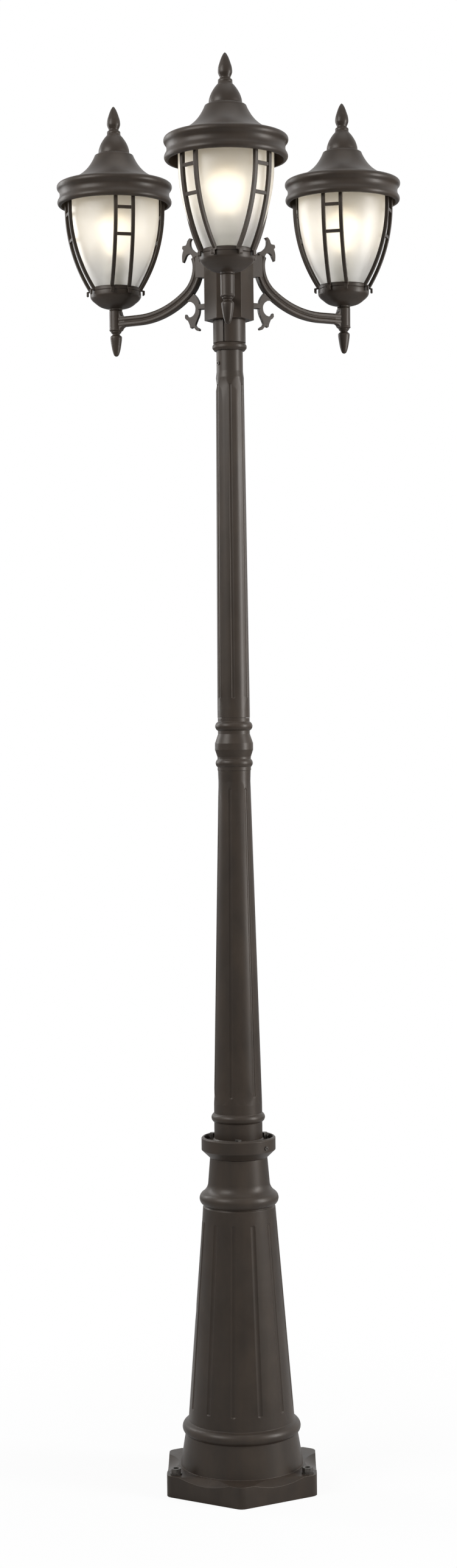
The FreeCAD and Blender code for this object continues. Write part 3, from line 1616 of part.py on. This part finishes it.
def cup(doc, d, name):
    """Shallow cup with a ledge for the glass, a round belly and a stem that stands on the arm."""
    rim = depth(d, "cup_rim_depth")
    stem_top = depth(d, "stem_top_depth")
    stem_end = depth(d, "arm_boss_depth") + 0.2
    bore = d.nipple_radius + d.fit_gap
    ledge = depth(d, "glass_end_depth") - d.part_gap
    inner = d.cup_rim_radius - d.cup_ledge
    body = turned(
        doc,
        f"cup_{name}",
        [
            (bore, stem_end),
            (d.stem_radius - 0.6, stem_end),
            (d.stem_radius, stem_end + 0.6),
            (d.stem_radius, stem_top),
            (d.cup_base_radius, depth(d, "cup_base_depth")),
            (d.cup_belly_radius, depth(d, "cup_belly_depth")),
            (d.cup_shoulder_radius, depth(d, "cup_shoulder_depth")),
            (d.cup_rim_radius, depth(d, "cup_rim_foot_depth")),
            (d.cup_rim_radius, rim),
            (d.cup_rim_radius - d.cup_rim_thickness, rim),
            (d.cup_rim_radius - d.cup_rim_thickness, ledge),
            (inner, ledge),
            (inner, ledge - 5.0),
            (d.cup_base_radius - 8.0, stem_top + d.cup_floor),
            (bore, stem_top + d.cup_floor),
        ],
    )
    lantern_place(body, d, name)
    return body


def lampholder(doc, d, name):
    """Ceramic lampholder: skirted barrel with the threaded mouth for the lamp, on the threaded tube."""
    top = depth(d, "holder_top_depth")
    bottom = depth(d, "holder_bottom_depth")
    bore = d.nipple_radius + d.fit_gap
    skirt = d.holder_radius - 4.5
    mouth = d.lamp_thread_radius + 0.4
    mouth_floor = top - d.holder_mouth_depth
    tube_end = bottom + d.nipple_grip
    body = turned(
        doc,
        f"lampholder_{name}",
        [
            (bore, bottom),
            (skirt, bottom),
            (skirt, bottom + 24.0),
            (d.holder_radius, bottom + 27.0),
            (d.holder_radius, top - 2.0),
            (d.holder_radius - 1.5, top),
            (mouth, top),
            (mouth, mouth_floor),
            (bore + 2.0, mouth_floor),
            (bore + 2.0, tube_end),
            (bore, tube_end),
        ],
    )
    lantern_place(body, d, name)
    return body


def bulb(doc, d, name):
    """Pear-shaped lamp with its screw cap."""
    top = depth(d, "bulb_top_depth")
    mouth = depth(d, "holder_top_depth")
    thread = d.lamp_thread_radius
    lean = math.radians(-35.0)
    crown = math.radians(78.0)
    body = turned(
        doc,
        f"bulb_{name}",
        [
            (0, mouth - 25.5),
            (thread - 4.0, mouth - 25.5),
            (thread, mouth - 20.0),
            (thread, mouth + 2.0),
            (d.bulb_radius * math.cos(lean), top - d.bulb_radius * (1 - math.sin(lean))),
            (d.bulb_radius * math.cos(crown), top - d.bulb_radius * (1 - math.sin(crown)), d.bulb_radius),
            (0, top),
        ],
    )
    lantern_place(body, d, name)
    return body


def nipple(doc, d, name):
    """Threaded brass tube from the lampholder through cup and arm into the drop finial."""
    top = depth(d, "holder_bottom_depth") + d.nipple_grip - 0.5
    bottom = depth(d, "drop_top_depth") - d.drop_bore_depth + 0.5
    body = turned(
        doc,
        f"nipple_{name}",
        ring_section(d.nipple_bore_radius, d.nipple_radius, bottom, top),
    )
    lantern_place(body, d, name)
    return body


def lock_nuts(doc, d):
    """Thin nuts on the threaded tubes, on the floor of each cup."""
    solids = []
    level = depth(d, "stem_top_depth").value + d.cup_floor.value
    for turn in ARMS.values():
        nut = hexagon_nut(d.cup_nut_width.value, d.cup_nut_height.value, d.nipple_radius.value + THREAD_GAP)
        angle = math.radians(turn)
        reach = d.arm_reach.value
        nut.translate(FreeCAD.Vector(reach * math.cos(angle), reach * math.sin(angle), level))
        solids.append(nut)
    return grouped(doc, "cup_nuts", solids)


def lantern(doc, d, name):
    """All pieces of one lantern, from the roof finial down to the drop finial."""
    top = finial(doc, d, f"finial_{name}", depth(d, "roof_top_depth"))
    shell = roof(doc, d, name)
    drop = drop_finial(doc, d, name)
    for body in (top, shell, drop):
        lantern_place(body, d, name)
    return [
        top,
        shell,
        roof_bridge(doc, d, name),
        cage(doc, d, name),
        glass(doc, d, name),
        cup(doc, d, name),
        lampholder(doc, d, name),
        bulb(doc, d, name),
        nipple(doc, d, name),
        arm(doc, d, name, ARMS[name]),
        drop,
    ]


def build(doc):
    """Every piece of the lamp post as an object of the document."""
    sheet = make_sheet(doc, (POST_SIZES, LANTERN_SIZES, ARM_SIZES))
    d = Sizes(sheet)
    pieces = [
        base_casting(doc, d),
        anchor_washers(doc, d),
        anchor_nuts(doc, d),
        base_collar(doc, d),
        collar_screws(doc, d),
        lower_shaft(doc, d),
        shaft_knuckle(doc, d),
        upper_shaft(doc, d),
        grub_screws(doc, d),
        fitter_ring(doc, d),
        fitter_sleeve(doc, d),
        hub(doc, d),
        arm_screws(doc, d),
        terminal_block(doc, d),
        hub_cap(doc, d),
        finial(doc, d, "hub_finial", d.cap_top_z),
        tie_tube(doc, d),
        tie_washers(doc, d),
        tie_nuts(doc, d),
        lock_nuts(doc, d),
    ]
    for name in ARMS:
        pieces += lantern(doc, d, name)
    return pieces


def check(doc, pieces):
    """Stops before anything is written if an object failed or a piece has no sound shape."""
    failed = [item.Label for item in doc.Objects if {"Invalid", "Error"} & set(item.State)]
    for piece in pieces:
        shape = piece.Shape
        if shape.isNull() or not shape.isValid() or not shape.Solids:
            failed.append(f"{piece.Label} (shape)")
    if failed:
        raise RuntimeError("failed: " + ", ".join(failed))


def main():
    doc = FreeCAD.newDocument("LampPost")
    pieces = build(doc)
    doc.recompute()
    check(doc, pieces)
    os.makedirs("parts", exist_ok=True)
    for piece in pieces:
        piece.Shape.exportStep(f"parts/{piece.Label}.step")
        print(f"{piece.Label}: {len(piece.Shape.Solids)} solids, {piece.Shape.Volume / 1000:.1f} cm3")


main()
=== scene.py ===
import bmesh
import bpy
import json
import math
from mathutils import Matrix, Vector


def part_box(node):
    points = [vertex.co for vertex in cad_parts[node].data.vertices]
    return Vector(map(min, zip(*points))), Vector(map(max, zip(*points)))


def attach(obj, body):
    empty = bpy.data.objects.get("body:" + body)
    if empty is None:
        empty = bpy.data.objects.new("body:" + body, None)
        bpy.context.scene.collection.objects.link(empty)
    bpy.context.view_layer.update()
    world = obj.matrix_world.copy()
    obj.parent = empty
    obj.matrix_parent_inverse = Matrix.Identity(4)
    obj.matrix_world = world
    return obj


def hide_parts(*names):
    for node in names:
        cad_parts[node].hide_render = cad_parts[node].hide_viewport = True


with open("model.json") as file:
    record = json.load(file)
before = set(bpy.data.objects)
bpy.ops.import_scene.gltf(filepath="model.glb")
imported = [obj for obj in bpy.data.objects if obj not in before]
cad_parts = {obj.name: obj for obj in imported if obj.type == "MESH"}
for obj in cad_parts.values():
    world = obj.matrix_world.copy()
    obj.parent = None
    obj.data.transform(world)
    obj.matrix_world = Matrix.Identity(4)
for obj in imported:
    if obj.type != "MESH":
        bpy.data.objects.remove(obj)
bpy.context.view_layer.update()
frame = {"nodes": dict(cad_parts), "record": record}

SIDES = ("front", "left", "right")
MM_PER_M = 1000

# Camera fitted to the post's outline at a height of 2.5 m, in metres and radians.
CAMERA_DISTANCE = 4.450
CAMERA_HEIGHT = 1.3852
CAMERA_ORBIT = 0.0095
CAMERA_YAW = 0.0024
CAMERA_PITCH = -0.0275
CAMERA_ROLL = -0.0114
CAMERA_LENS_MM = 57.04
CAMERA_SENSOR_MM = 36.0
CAMERA_CLIP_END = 100.0

# Area lights: name, place, aim, width and height in metres, and power in watts.
LAMPS = (
    ("key_left", (-2.7, -1.9, 3.3), (0, 0, 2.2), 2.2, 1.8, 125),
    ("edge_left", (-2.4, 1.6, 2.4), (0, 0, 1.9), 0.6, 2.2, 34),
    ("strip_right", (3.0, -0.9, 1.8), (0, 0, 1.6), 0.8, 2.2, 125),
    ("top_soft", (0.4, -0.4, 5.2), (0, 0, 1.8), 2.4, 2.4, 26),
)
FLOOR_SIZE = 60
WORLD_GREY = (0.95, 0.97, 1.0, 1.0)
WORLD_GREY_STRENGTH = 0.17
WHITE = (1.0, 1.0, 1.0, 1.0)

# Lighter colour of the bronze's edges, partly rubbed wear and partly a painted highlight, their
# round, and how far the painted glow of the glasses stands above the lamp.
WORN_AND_SHEEN_BRONZE = (0.115, 0.095, 0.078, 1.0)
EDGE_RADIUS = 0.0014
GLOW_RISE = 0.015


# ---------------------------------------------------------------- node helpers


class NodeTree:
    """The nodes of a material or world: adds them, sets their inputs and links them."""

    def __init__(self, owner, output_kind):
        owner.use_nodes = True
        self.owner = owner
        self.tree = owner.node_tree
        self.tree.nodes.clear()
        self.output = self.add(output_kind)

    def add(self, kind, inputs=None, **settings):
        node = self.tree.nodes.new(kind)
        for key, value in settings.items():
            setattr(node, key, value)
        for key, value in (inputs or {}).items():
            if isinstance(value, bpy.types.NodeSocket):
                self.tree.links.new(value, node.inputs[key])
            else:
                node.inputs[key].default_value = value
        return node

    def larger(self, first, second):
        node = self.add("ShaderNodeMath", {0: first, 1: second}, operation="MAXIMUM")
        return node.outputs["Value"]

    def blend(self, share, first, second):
        """Shader that goes from the first to the second as the share grows."""
        node = self.add("ShaderNodeMixShader", {0: share, 1: first, 2: second})
        return node.outputs["Shader"]

    def finish(self, surface):
        self.tree.links.new(surface, self.output.inputs["Surface"])
        return self.owner


class Shader(NodeTree):
    """A material under construction."""

    def __init__(self, name):
        super().__init__(bpy.data.materials.new(name), "ShaderNodeOutputMaterial")

    def position(self):
        return self.add("ShaderNodeTexCoord").outputs["Object"]

    def noise(self, scale, detail=4.0, roughness=0.55, distortion=0.0, stretch=None):
        where = self.position()
        if stretch:
            mapping = self.add("ShaderNodeMapping", {"Vector": where, "Scale": stretch})
            where = mapping.outputs["Vector"]
        inputs = {"Vector": where, "Scale": scale, "Detail": detail, "Roughness": roughness}
        inputs["Distortion"] = distortion
        return self.add("ShaderNodeTexNoise", inputs).outputs["Fac"]

    def vector_value(self, operation, *vectors):
        """Number that comes from one or two vectors, such as a length or a distance."""
        inputs = dict(enumerate(vectors))
        node = self.add("ShaderNodeVectorMath", inputs, operation=operation)
        return node.outputs["Value"]

    def ramp(self, factor, stops):
        node = self.add("ShaderNodeValToRGB", {"Fac": factor})
        elements = node.color_ramp.elements
        while len(elements) < len(stops):
            elements.new(0.5)
        for element, (place, colour) in zip(elements, stops):
            element.position = place
            element.color = (*colour, 1.0)
        return node.outputs["Color"]

    def mix(self, share, first, second, **settings):
        inputs = {"Factor": share, "A": first, "B": second}
        return self.add("ShaderNodeMix", inputs, data_type="RGBA", **settings).outputs["Result"]

    def spread(self, factor, low, high, start=0.0, end=1.0, **settings):
        """Takes start..end to low..high."""
        inputs = {"Value": factor, "From Min": start, "From Max": end}
        inputs.update({"To Min": low, "To Max": high})
        return self.add("ShaderNodeMapRange", inputs, **settings).outputs["Result"]

    def bump(self, heights, normal=None):
        """Chains bumps of (height, distance in metres, strength)."""
        for height, distance, strength in heights:
            inputs = {"Height": height, "Distance": distance, "Strength": strength}
            if normal is not None:
                inputs["Normal"] = normal
            normal = self.add("ShaderNodeBump", inputs).outputs["Normal"]
        return normal

    def principled(self, **inputs):
        named = {key.replace("_", " "): value for key, value in inputs.items()}
        return self.add("ShaderNodeBsdfPrincipled", named).outputs["BSDF"]

    def finish_principled(self, **inputs):
        return self.finish(self.principled(**inputs))


# ---------------------------------------------------------------- materials


def edge_wear_and_sheen(s, colour, rounded):
    """Lightens the paint along edges, where the rounded normal leaves the surface's own: partly
    rubbed wear, partly a painted highlight of the edges' gloss.
    """
    own = s.add("ShaderNodeNewGeometry").outputs["Normal"]
    same = s.vector_value("DOT_PRODUCT", rounded, own)
    edge = s.spread(same, 0.0, 0.7, start=0.97, end=0.8)
    return s.mix(edge, colour, WORN_AND_SHEEN_BRONZE)


def bronze_paint():
    """Satin dark bronze paint on castings: brown rub, soft mottling and orange peel."""
    s = Shader("bronze_paint")
    mottle = s.noise(9.0, 5.0, 0.6, 0.4)
    rub = s.noise(38.0, 3.0, 0.5, stretch=(1.0, 1.0, 0.35))
    peel = s.noise(750.0, 2.0, 0.5)
    cast = s.noise(130.0, 4.0, 0.6)
    tone = s.ramp(mottle, [(0.3, (0.0220, 0.0163, 0.0126)), (0.7, (0.0335, 0.0258, 0.0204))])
    worn = s.ramp(rub, [(0.35, (0.9, 0.9, 0.9)), (0.75, (1.18, 1.13, 1.06))])
    paint = s.mix(1.0, tone, worn, blend_type="MULTIPLY")
    rounded = s.add("ShaderNodeBevel", {"Radius": EDGE_RADIUS}, samples=6).outputs["Normal"]
    return s.finish_principled(
        # Edges lightened in the colour: partly rubbed wear, partly a painted highlight along
        # them.
        Base_Color=edge_wear_and_sheen(s, paint, rounded),
        Roughness=s.spread(rub, 0.36, 0.48),
        Normal=s.bump([(cast, 0.0003, 0.25), (peel, 0.00008, 0.3)], rounded),
        Specular_IOR_Level=0.22,
        Specular_Tint=(1.0, 0.94, 0.88, 1.0),
        Coat_Weight=0.05,
        Coat_Roughness=0.25,
    )


def dark_fastener():
    """Nuts, washers and screws: the same bronze, rubbed brighter by the spanner."""
    s = Shader("dark_fastener")
    rub = s.noise(240.0, 4.0, 0.6)
    return s.finish_principled(
        Base_Color=s.ramp(rub, [(0.35, (0.045, 0.039, 0.034)), (0.8, (0.11, 0.1, 0.09))]),
        Metallic=0.6,
        Roughness=s.spread(rub, 0.3, 0.5),
        Normal=s.bump([(s.noise(900.0, 2.0), 0.0001, 0.3)]),
    )


def zinc_steel():
    """Bright zinc plate with faint cloudy grain."""
    s = Shader("zinc_steel")
    cloud = s.noise(60.0, 5.0, 0.6, 0.6)
    return s.finish_principled(
        Base_Color=s.ramp(cloud, [(0.3, (0.5, 0.51, 0.53)), (0.7, (0.66, 0.66, 0.66))]),
        Metallic=0.95,
        Roughness=s.spread(cloud, 0.28, 0.42),
        Normal=s.bump([(s.noise(700.0, 2.0), 0.00005, 0.3)]),
    )


def brass_tube():
    """Plain drawn brass with darker tarnish."""
    s = Shader("brass_tube")
    tarnish = s.noise(90.0, 5.0, 0.6)
    return s.finish_principled(
        Base_Color=s.ramp(tarnish, [(0.3, (0.36, 0.24, 0.09)), (0.7, (0.6, 0.45, 0.19))]),
        Metallic=0.95,
        Roughness=s.spread(tarnish, 0.25, 0.4),
        Normal=s.bump([(s.noise(1200.0, 2.0, stretch=(1, 1, 8)), 0.00004, 0.3)]),
    )


def holder_ceramic():
    """Glazed porcelain of the lampholders."""
    s = Shader("holder_ceramic")
    cloud = s.noise(50.0, 4.0)
    return s.finish_principled(
        Base_Color=s.ramp(cloud, [(0.3, (0.6, 0.58, 0.53)), (0.7, (0.72, 0.7, 0.65))]),
        Roughness=s.spread(cloud, 0.14, 0.26),
        Normal=s.bump([(s.noise(300.0, 2.0), 0.00008, 0.25)]),
    )


def terminal_plastic():
    """Matt pale plastic of the terminal block."""
    s = Shader("terminal_plastic")
    cloud = s.noise(80.0, 4.0)
    return s.finish_principled(
        Base_Color=s.ramp(cloud, [(0.3, (0.68, 0.67, 0.62)), (0.7, (0.76, 0.75, 0.7))]),
        Roughness=s.spread(cloud, 0.5, 0.62),
        Normal=s.bump([(s.noise(1500.0, 2.0), 0.00004, 0.4)]),
    )


def lamp_envelope():
    """Lit frosted lamp: a warm glow over the whole of it, its cap included."""
    s = Shader("lamp_envelope")
    grain = s.noise(500.0, 2.0)
    cloud = s.noise(20.0, 2.0)
    return s.finish_principled(
        Base_Color=(0.9, 0.88, 0.84, 1.0),
        Roughness=s.spread(grain, 0.35, 0.5),
        Emission_Color=s.ramp(cloud, [(0.3, (1.0, 0.82, 0.56)), (0.7, (1.0, 0.87, 0.64))]),
        Emission_Strength=0.7,
    )


def frosted_glass(side, lamp):
    """Acid-etched glass with a painted glow: emission that falls off from the lamp inside,
    standing in for its light through the frosting.
    """
    s = Shader(f"frosted_glass_{side}")
    glow_centre = lamp + Vector((0, 0, GLOW_RISE))
    away = s.vector_value("DISTANCE", s.position(), glow_centre)
    near = s.spread(away, 1.0, 0.0, start=0.070, end=0.112, interpolation_type="SMOOTHSTEP")
    glow = [(0.0, (0.0, 0.0, 0.0)), (0.5, (0.50, 0.43, 0.32)), (1.0, (0.85, 0.74, 0.56))]
    cloud = s.noise(24.0, 4.0, 0.6, 0.3)
    return s.finish_principled(
        Base_Color=s.ramp(cloud, [(0.3, (0.85, 0.84, 0.815)), (0.7, (0.895, 0.885, 0.865))]),
        Roughness=s.spread(cloud, 0.4, 0.5),
        IOR=1.45,
        Transmission_Weight=1.0,
        # Painted light: the glass itself emits a warm glow, strongest near the lamp.
        Emission_Color=s.ramp(near, glow),
        Emission_Strength=0.14,
        Normal=s.bump([(s.noise(1400.0, 2.0), 0.00005, 0.35), (cloud, 0.0006, 0.15)]),
    )


def floor_paper():
    """White studio floor: nearly white to the camera, and it keeps the object's shadow."""
    s = Shader("floor_paper")
    cloud = s.noise(2.0, 3.0)
    colour = s.ramp(cloud, [(0.3, (0.69, 0.69, 0.69)), (0.7, (0.71, 0.71, 0.71))])
    paper = s.principled(Base_Color=colour, Roughness=s.spread(cloud, 0.75, 0.85))
    white = s.add("ShaderNodeEmission", {"Color": WHITE, "Strength": 1.0}).outputs["Emission"]
    ray = s.add("ShaderNodeLightPath").outputs
    seen = s.larger(ray["Is Camera Ray"], ray["Is Transmission Ray"])
    away = s.vector_value("LENGTH", s.position())
    whiter = s.spread(away, 0.93, 1.0, start=0.15, end=1.2, interpolation_type="SMOOTHSTEP")
    share = s.add("ShaderNodeMath", {0: seen, 1: whiter}, operation="MULTIPLY").outputs["Value"]
    return s.finish(s.blend(share, paper, white))


# ---------------------------------------------------------------- turned pieces

TIP_HEIGHT = 2500.0
GLASS_WALL = 3.0
TURNED_SEGMENTS = 96
RUN_STEPS = 3
ON_AXIS = 1e-6
SHARP_ANGLE = math.radians(38)

# Half sections as runs of (radius, depth below the finial's tip) in millimetres. A run is one
# smooth line, and the section turns a corner where one run ends and the next begins. The glass
# has its outer line only; the others are closed.
GLASS_LINE = [
    [(81.0, 154.0), (81.0, 188.0), (80.4, 206.0), (78.6, 224.0), (75.2, 243.0), (70.6, 262.0),
     (64.6, 281.0), (56.6, 300.0), (47.6, 318.0), (38.6, 335.0), (37.4, 338.0), (37.4, 341.7)],
]
ROOF_SECTION = [
    [(3.5, 50.0), (12.2, 50.0)],
    [(12.7, 52.6), (16.4, 56.6), (20.6, 62.5), (24.0, 68.4), (26.5, 74.6), (27.9, 80.0),
     (28.3, 84.0)],
    [(28.3, 86.3), (29.4, 87.4), (34.4, 88.8), (35.9, 90.8)],
    [(36.4, 92.4), (40.2, 99.8), (45.8, 108.6), (53.2, 117.2), (62.0, 124.6), (72.4, 131.0),
     (83.8, 136.0), (94.8, 139.0)],
    [(98.0, 139.6), (101.6, 141.0), (104.4, 143.4), (105.38, 146.8), (104.8, 150.4),
     (102.6, 153.6)],
    [(101.6, 155.0), (100.6, 157.4), (100.2, 161.0), (100.6, 165.0), (102.0, 168.6)],
    [(103.4, 170.6), (104.5, 174.2), (104.0, 178.0), (102.0, 180.6)],
    [(100.0, 181.0), (97.4, 181.0)],
    [(97.4, 150.0), (94.6, 144.4), (82.0, 139.2), (64.0, 130.0), (50.0, 118.0), (41.0, 108.0)],
    [(33.0, 94.0), (25.3, 86.6), (24.2, 76.0), (18.6, 66.0), (11.0, 57.4), (3.5, 57.0)],
]
FINIAL_SECTION = [
    [(3.3, 50.0), (12.0, 50.0)],
    [(12.2, 49.2), (12.2, 46.4)],
    [(11.4, 45.2), (9.6, 44.0), (9.1, 42.4), (9.4, 40.8)],
    [(10.6, 38.2), (11.9, 34.6), (12.2, 31.2), (11.9, 27.4), (11.1, 23.0), (9.7, 18.6),
     (8.2, 14.0), (6.4, 9.2), (4.4, 5.0), (2.2, 1.6), (0.6, 0.2), (0.0, 0.0)],
    [(0.0, 34.2), (3.3, 34.2)],
]
CUP_SECTION = [
    [(5.1, 370.7), (11.3, 370.7), (12.0, 370.0)],
    [(12.0, 368.8), (13.2, 368.0), (20.0, 366.8), (27.0, 364.6), (32.6, 361.4), (37.6, 357.3),
     (41.4, 354.2), (44.0, 351.4), (45.8, 348.6), (46.4, 346.4)],
    [(46.5, 345.2), (46.5, 339.4), (45.6, 338.4)],
    [(44.0, 338.3), (40.6, 338.3)],
    [(40.6, 342.0), (32.6, 342.0)],
    [(32.6, 347.0), (19.3, 360.5), (5.1, 360.5)],
]
DROP_SECTION = [
    [(5.1, 418.0), (5.1, 409.5), (9.4, 409.5)],
    [(9.6, 410.2), (9.4, 411.6), (7.6, 413.2), (6.6, 414.6)],
    [(6.9, 415.6), (9.4, 417.6), (10.7, 419.4)],
    [(10.7, 421.6), (10.3, 426.0), (9.6, 431.0), (8.8, 436.2), (7.7, 442.0), (6.1, 448.0),
     (4.3, 452.4), (2.1, 454.5), (0.0, 455.0)],
    [(0.0, 418.0)],
]


def smooth_run(points):
    """Points on a smooth line through the given ones, with slopes taken from their neighbours."""
    if len(points) < 3:
        return list(points)
    line = []
    for number in range(len(points) - 1):
        before = points[max(number - 1, 0)]
        start, end = points[number], points[number + 1]
        after = points[min(number + 2, len(points) - 1)]
        for step in range(RUN_STEPS):
            t = step / RUN_STEPS
            weights = (
                -0.5 * t + t * t - 0.5 * t ** 3,
                1 - 2.5 * t * t + 1.5 * t ** 3,
                0.5 * t + 2 * t * t - 1.5 * t ** 3,
                -0.5 * t * t + 0.5 * t ** 3,
            )
            near = (before, start, end, after)
            line.append(
                tuple(sum(w * p[axis] for w, p in zip(weights, near)) for axis in (0, 1))
            )
    line.append(points[-1])
    return line


def joined(runs):
    return [point for run in runs for point in smooth_run(run)]


def offset_inside(points, wall):
    """The line one wall thickness inside an outer line, from its end back to its start."""
    inside = []
    for number, (radius, down) in enumerate(points):
        before = points[max(number - 1, 0)]
        after = points[min(number + 1, len(points) - 1)]
        along = Vector((after[0] - before[0], after[1] - before[1])).normalized()
        inside.append((radius - wall * along.y, down + wall * along.x))
    return inside[::-1]


def add_ring(skin, centre, radius, down):
    """Vertices at one level of a turned skin, or a single one on the axis."""
    height = (TIP_HEIGHT - down) / MM_PER_M
    if radius < ON_AXIS:
        return [skin.verts.new((centre.x, centre.y, height))]
    ring = []
    across = radius / MM_PER_M
    for step in range(TURNED_SEGMENTS):
        angle = 2 * math.pi * step / TURNED_SEGMENTS
        x = centre.x + across * math.cos(angle)
        y = centre.y + across * math.sin(angle)
        ring.append(skin.verts.new((x, y, height)))
    return ring


def bridge_rings(skin, ring, after):
    """Faces between two neighbouring rings, either of which may be a point on the axis."""
    if len(ring) == 1 and len(after) == 1:
        return
    for step in range(TURNED_SEGMENTS):
        following = (step + 1) % TURNED_SEGMENTS
        if len(ring) == 1:
            skin.faces.new((ring[0], after[following], after[step]))
        elif len(after) == 1:
            skin.faces.new((ring[step], ring[following], after[0]))
        else:
            skin.faces.new((ring[step], ring[following], after[following], after[step]))


def turned_piece(name, section, centre, body, replaced, look):
    """A closed skin turned about an upright axis from a closed half section."""
    skin = bmesh.new()
    rings = [add_ring(skin, centre, radius, down) for radius, down in section]
    for number, ring in enumerate(rings):
        bridge_rings(skin, ring, rings[(number + 1) % len(rings)])
    bmesh.ops.recalc_face_normals(skin, faces=skin.faces)
    mesh = bpy.data.meshes.new(name)
    skin.to_mesh(mesh)
    skin.free()
    for face in mesh.polygons:
        face.use_smooth = True
    mesh.set_sharp_from_angle(angle=SHARP_ANGLE)
    mesh.materials.append(look)
    piece = bpy.data.objects.new(name, mesh)
    bpy.context.collection.objects.link(piece)
    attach(piece, body)
    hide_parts(replaced)


def turned_lantern(side, bronze, glass):
    """The five turned pieces of one lantern, on the axis of its solids."""
    centre = middle_of(f"roof_{side}")
    top = f"roof_top_{side}"
    outside = joined(GLASS_LINE)
    bell = outside + offset_inside(outside, GLASS_WALL)
    turned_piece(
        f"glass_bell_{side}", bell, centre, "post", f"glass_{side}", glass
    )
    for name, section, body, replaced in (
        ("roof_shell", ROOF_SECTION, top, "roof"),
        ("roof_finial", FINIAL_SECTION, top, "finial"),
        ("cup_bowl", CUP_SECTION, "post", "cup"),
        ("drop_tip", DROP_SECTION, "post", "drop_finial"),
    ):
        turned_piece(
            f"{name}_{side}", joined(section), centre, body, f"{replaced}_{side}",
            bronze,
        )


# ---------------------------------------------------------------- dressing


def dress_nodes():
    """Every CAD node takes the material of its slot, but for the glasses, which are replaced."""
    looks = {
        "bronze_paint": bronze_paint(),
        "dark_fastener": dark_fastener(),
        "zinc_steel": zinc_steel(),
        "brass_tube": brass_tube(),
        "holder_ceramic": holder_ceramic(),
        "terminal_plastic": terminal_plastic(),
        "lamp_envelope": lamp_envelope(),
    }
    for sub in frame["record"]["subparts"]:
        look = looks.get(sub["material_slot"])
        if look is None:
            continue
        for place in frame["nodes"][sub["node"]].material_slots:
            place.material = look
    return looks["bronze_paint"]


def middle_of(node):
    low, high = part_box(node)
    return (Vector(low) + Vector(high)) / 2


def lamp_centre(side):
    """Middle of the lamp's round part, which is as wide as the lamp's box."""
    low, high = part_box(f"bulb_{side}")
    middle = middle_of(f"bulb_{side}")
    return Vector((middle.x, middle.y, high[2] - (high[0] - low[0]) / 2))


def dress_lanterns(bronze):
    for side in SIDES:
        turned_lantern(side, bronze, frosted_glass(side, lamp_centre(side)))


# ---------------------------------------------------------------- studio


def studio_floor():
    bpy.ops.mesh.primitive_plane_add(size=FLOOR_SIZE, location=(0, 0, 0))
    floor = bpy.context.object
    floor.name = "studio_floor"
    floor.data.materials.append(floor_paper())


def studio_lights():
    for name, place, aim, width, height, power in LAMPS:
        data = bpy.data.lights.new(name, "AREA")
        data.shape = "RECTANGLE"
        data.size = width
        data.size_y = height
        data.energy = power
        lamp = bpy.data.objects.new(name, data)
        bpy.context.collection.objects.link(lamp)
        lamp.location = place
        towards = Vector(aim) - Vector(place)
        lamp.rotation_euler = towards.to_track_quat("-Z", "Y").to_euler()
        lamp.visible_camera = False


def studio_world():
    """White to the camera and in reflections and glass, and a plain soft grey for lighting."""
    world = bpy.data.worlds.new("studio_world")
    bpy.context.scene.world = world
    w = NodeTree(world, "ShaderNodeOutputWorld")
    ray = w.add("ShaderNodeLightPath").outputs
    grey = w.add("ShaderNodeBackground", {"Color": WORLD_GREY, "Strength": WORLD_GREY_STRENGTH})
    white = w.add("ShaderNodeBackground", {"Color": WHITE, "Strength": 1.0})
    seen = w.larger(ray["Is Camera Ray"], ray["Is Transmission Ray"])
    either = w.larger(seen, ray["Is Glossy Ray"])
    w.finish(w.blend(either, grey.outputs["Background"], white.outputs["Background"]))


def studio_camera():
    data = bpy.data.cameras.new("photo_camera")
    data.sensor_width = CAMERA_SENSOR_MM
    data.lens = CAMERA_LENS_MM
    data.clip_end = CAMERA_CLIP_END
    camera = bpy.data.objects.new("photo_camera", data)
    bpy.context.collection.objects.link(camera)
    turn = Matrix.Rotation(CAMERA_ORBIT + CAMERA_YAW, 4, "Z")
    tilt = Matrix.Rotation(math.pi / 2 + CAMERA_PITCH, 4, "X")
    roll = Matrix.Rotation(CAMERA_ROLL, 4, "Z")
    x = CAMERA_DISTANCE * math.sin(CAMERA_ORBIT)
    y = -CAMERA_DISTANCE * math.cos(CAMERA_ORBIT)
    place = Vector((x, y, CAMERA_HEIGHT))
    camera.matrix_world = Matrix.Translation(place) @ turn @ tilt @ roll
    bpy.context.scene.camera = camera


dress_lanterns(dress_nodes())
studio_floor()
studio_lights()
studio_world()
studio_camera()
bpy.context.scene.view_settings.view_transform = "Standard"
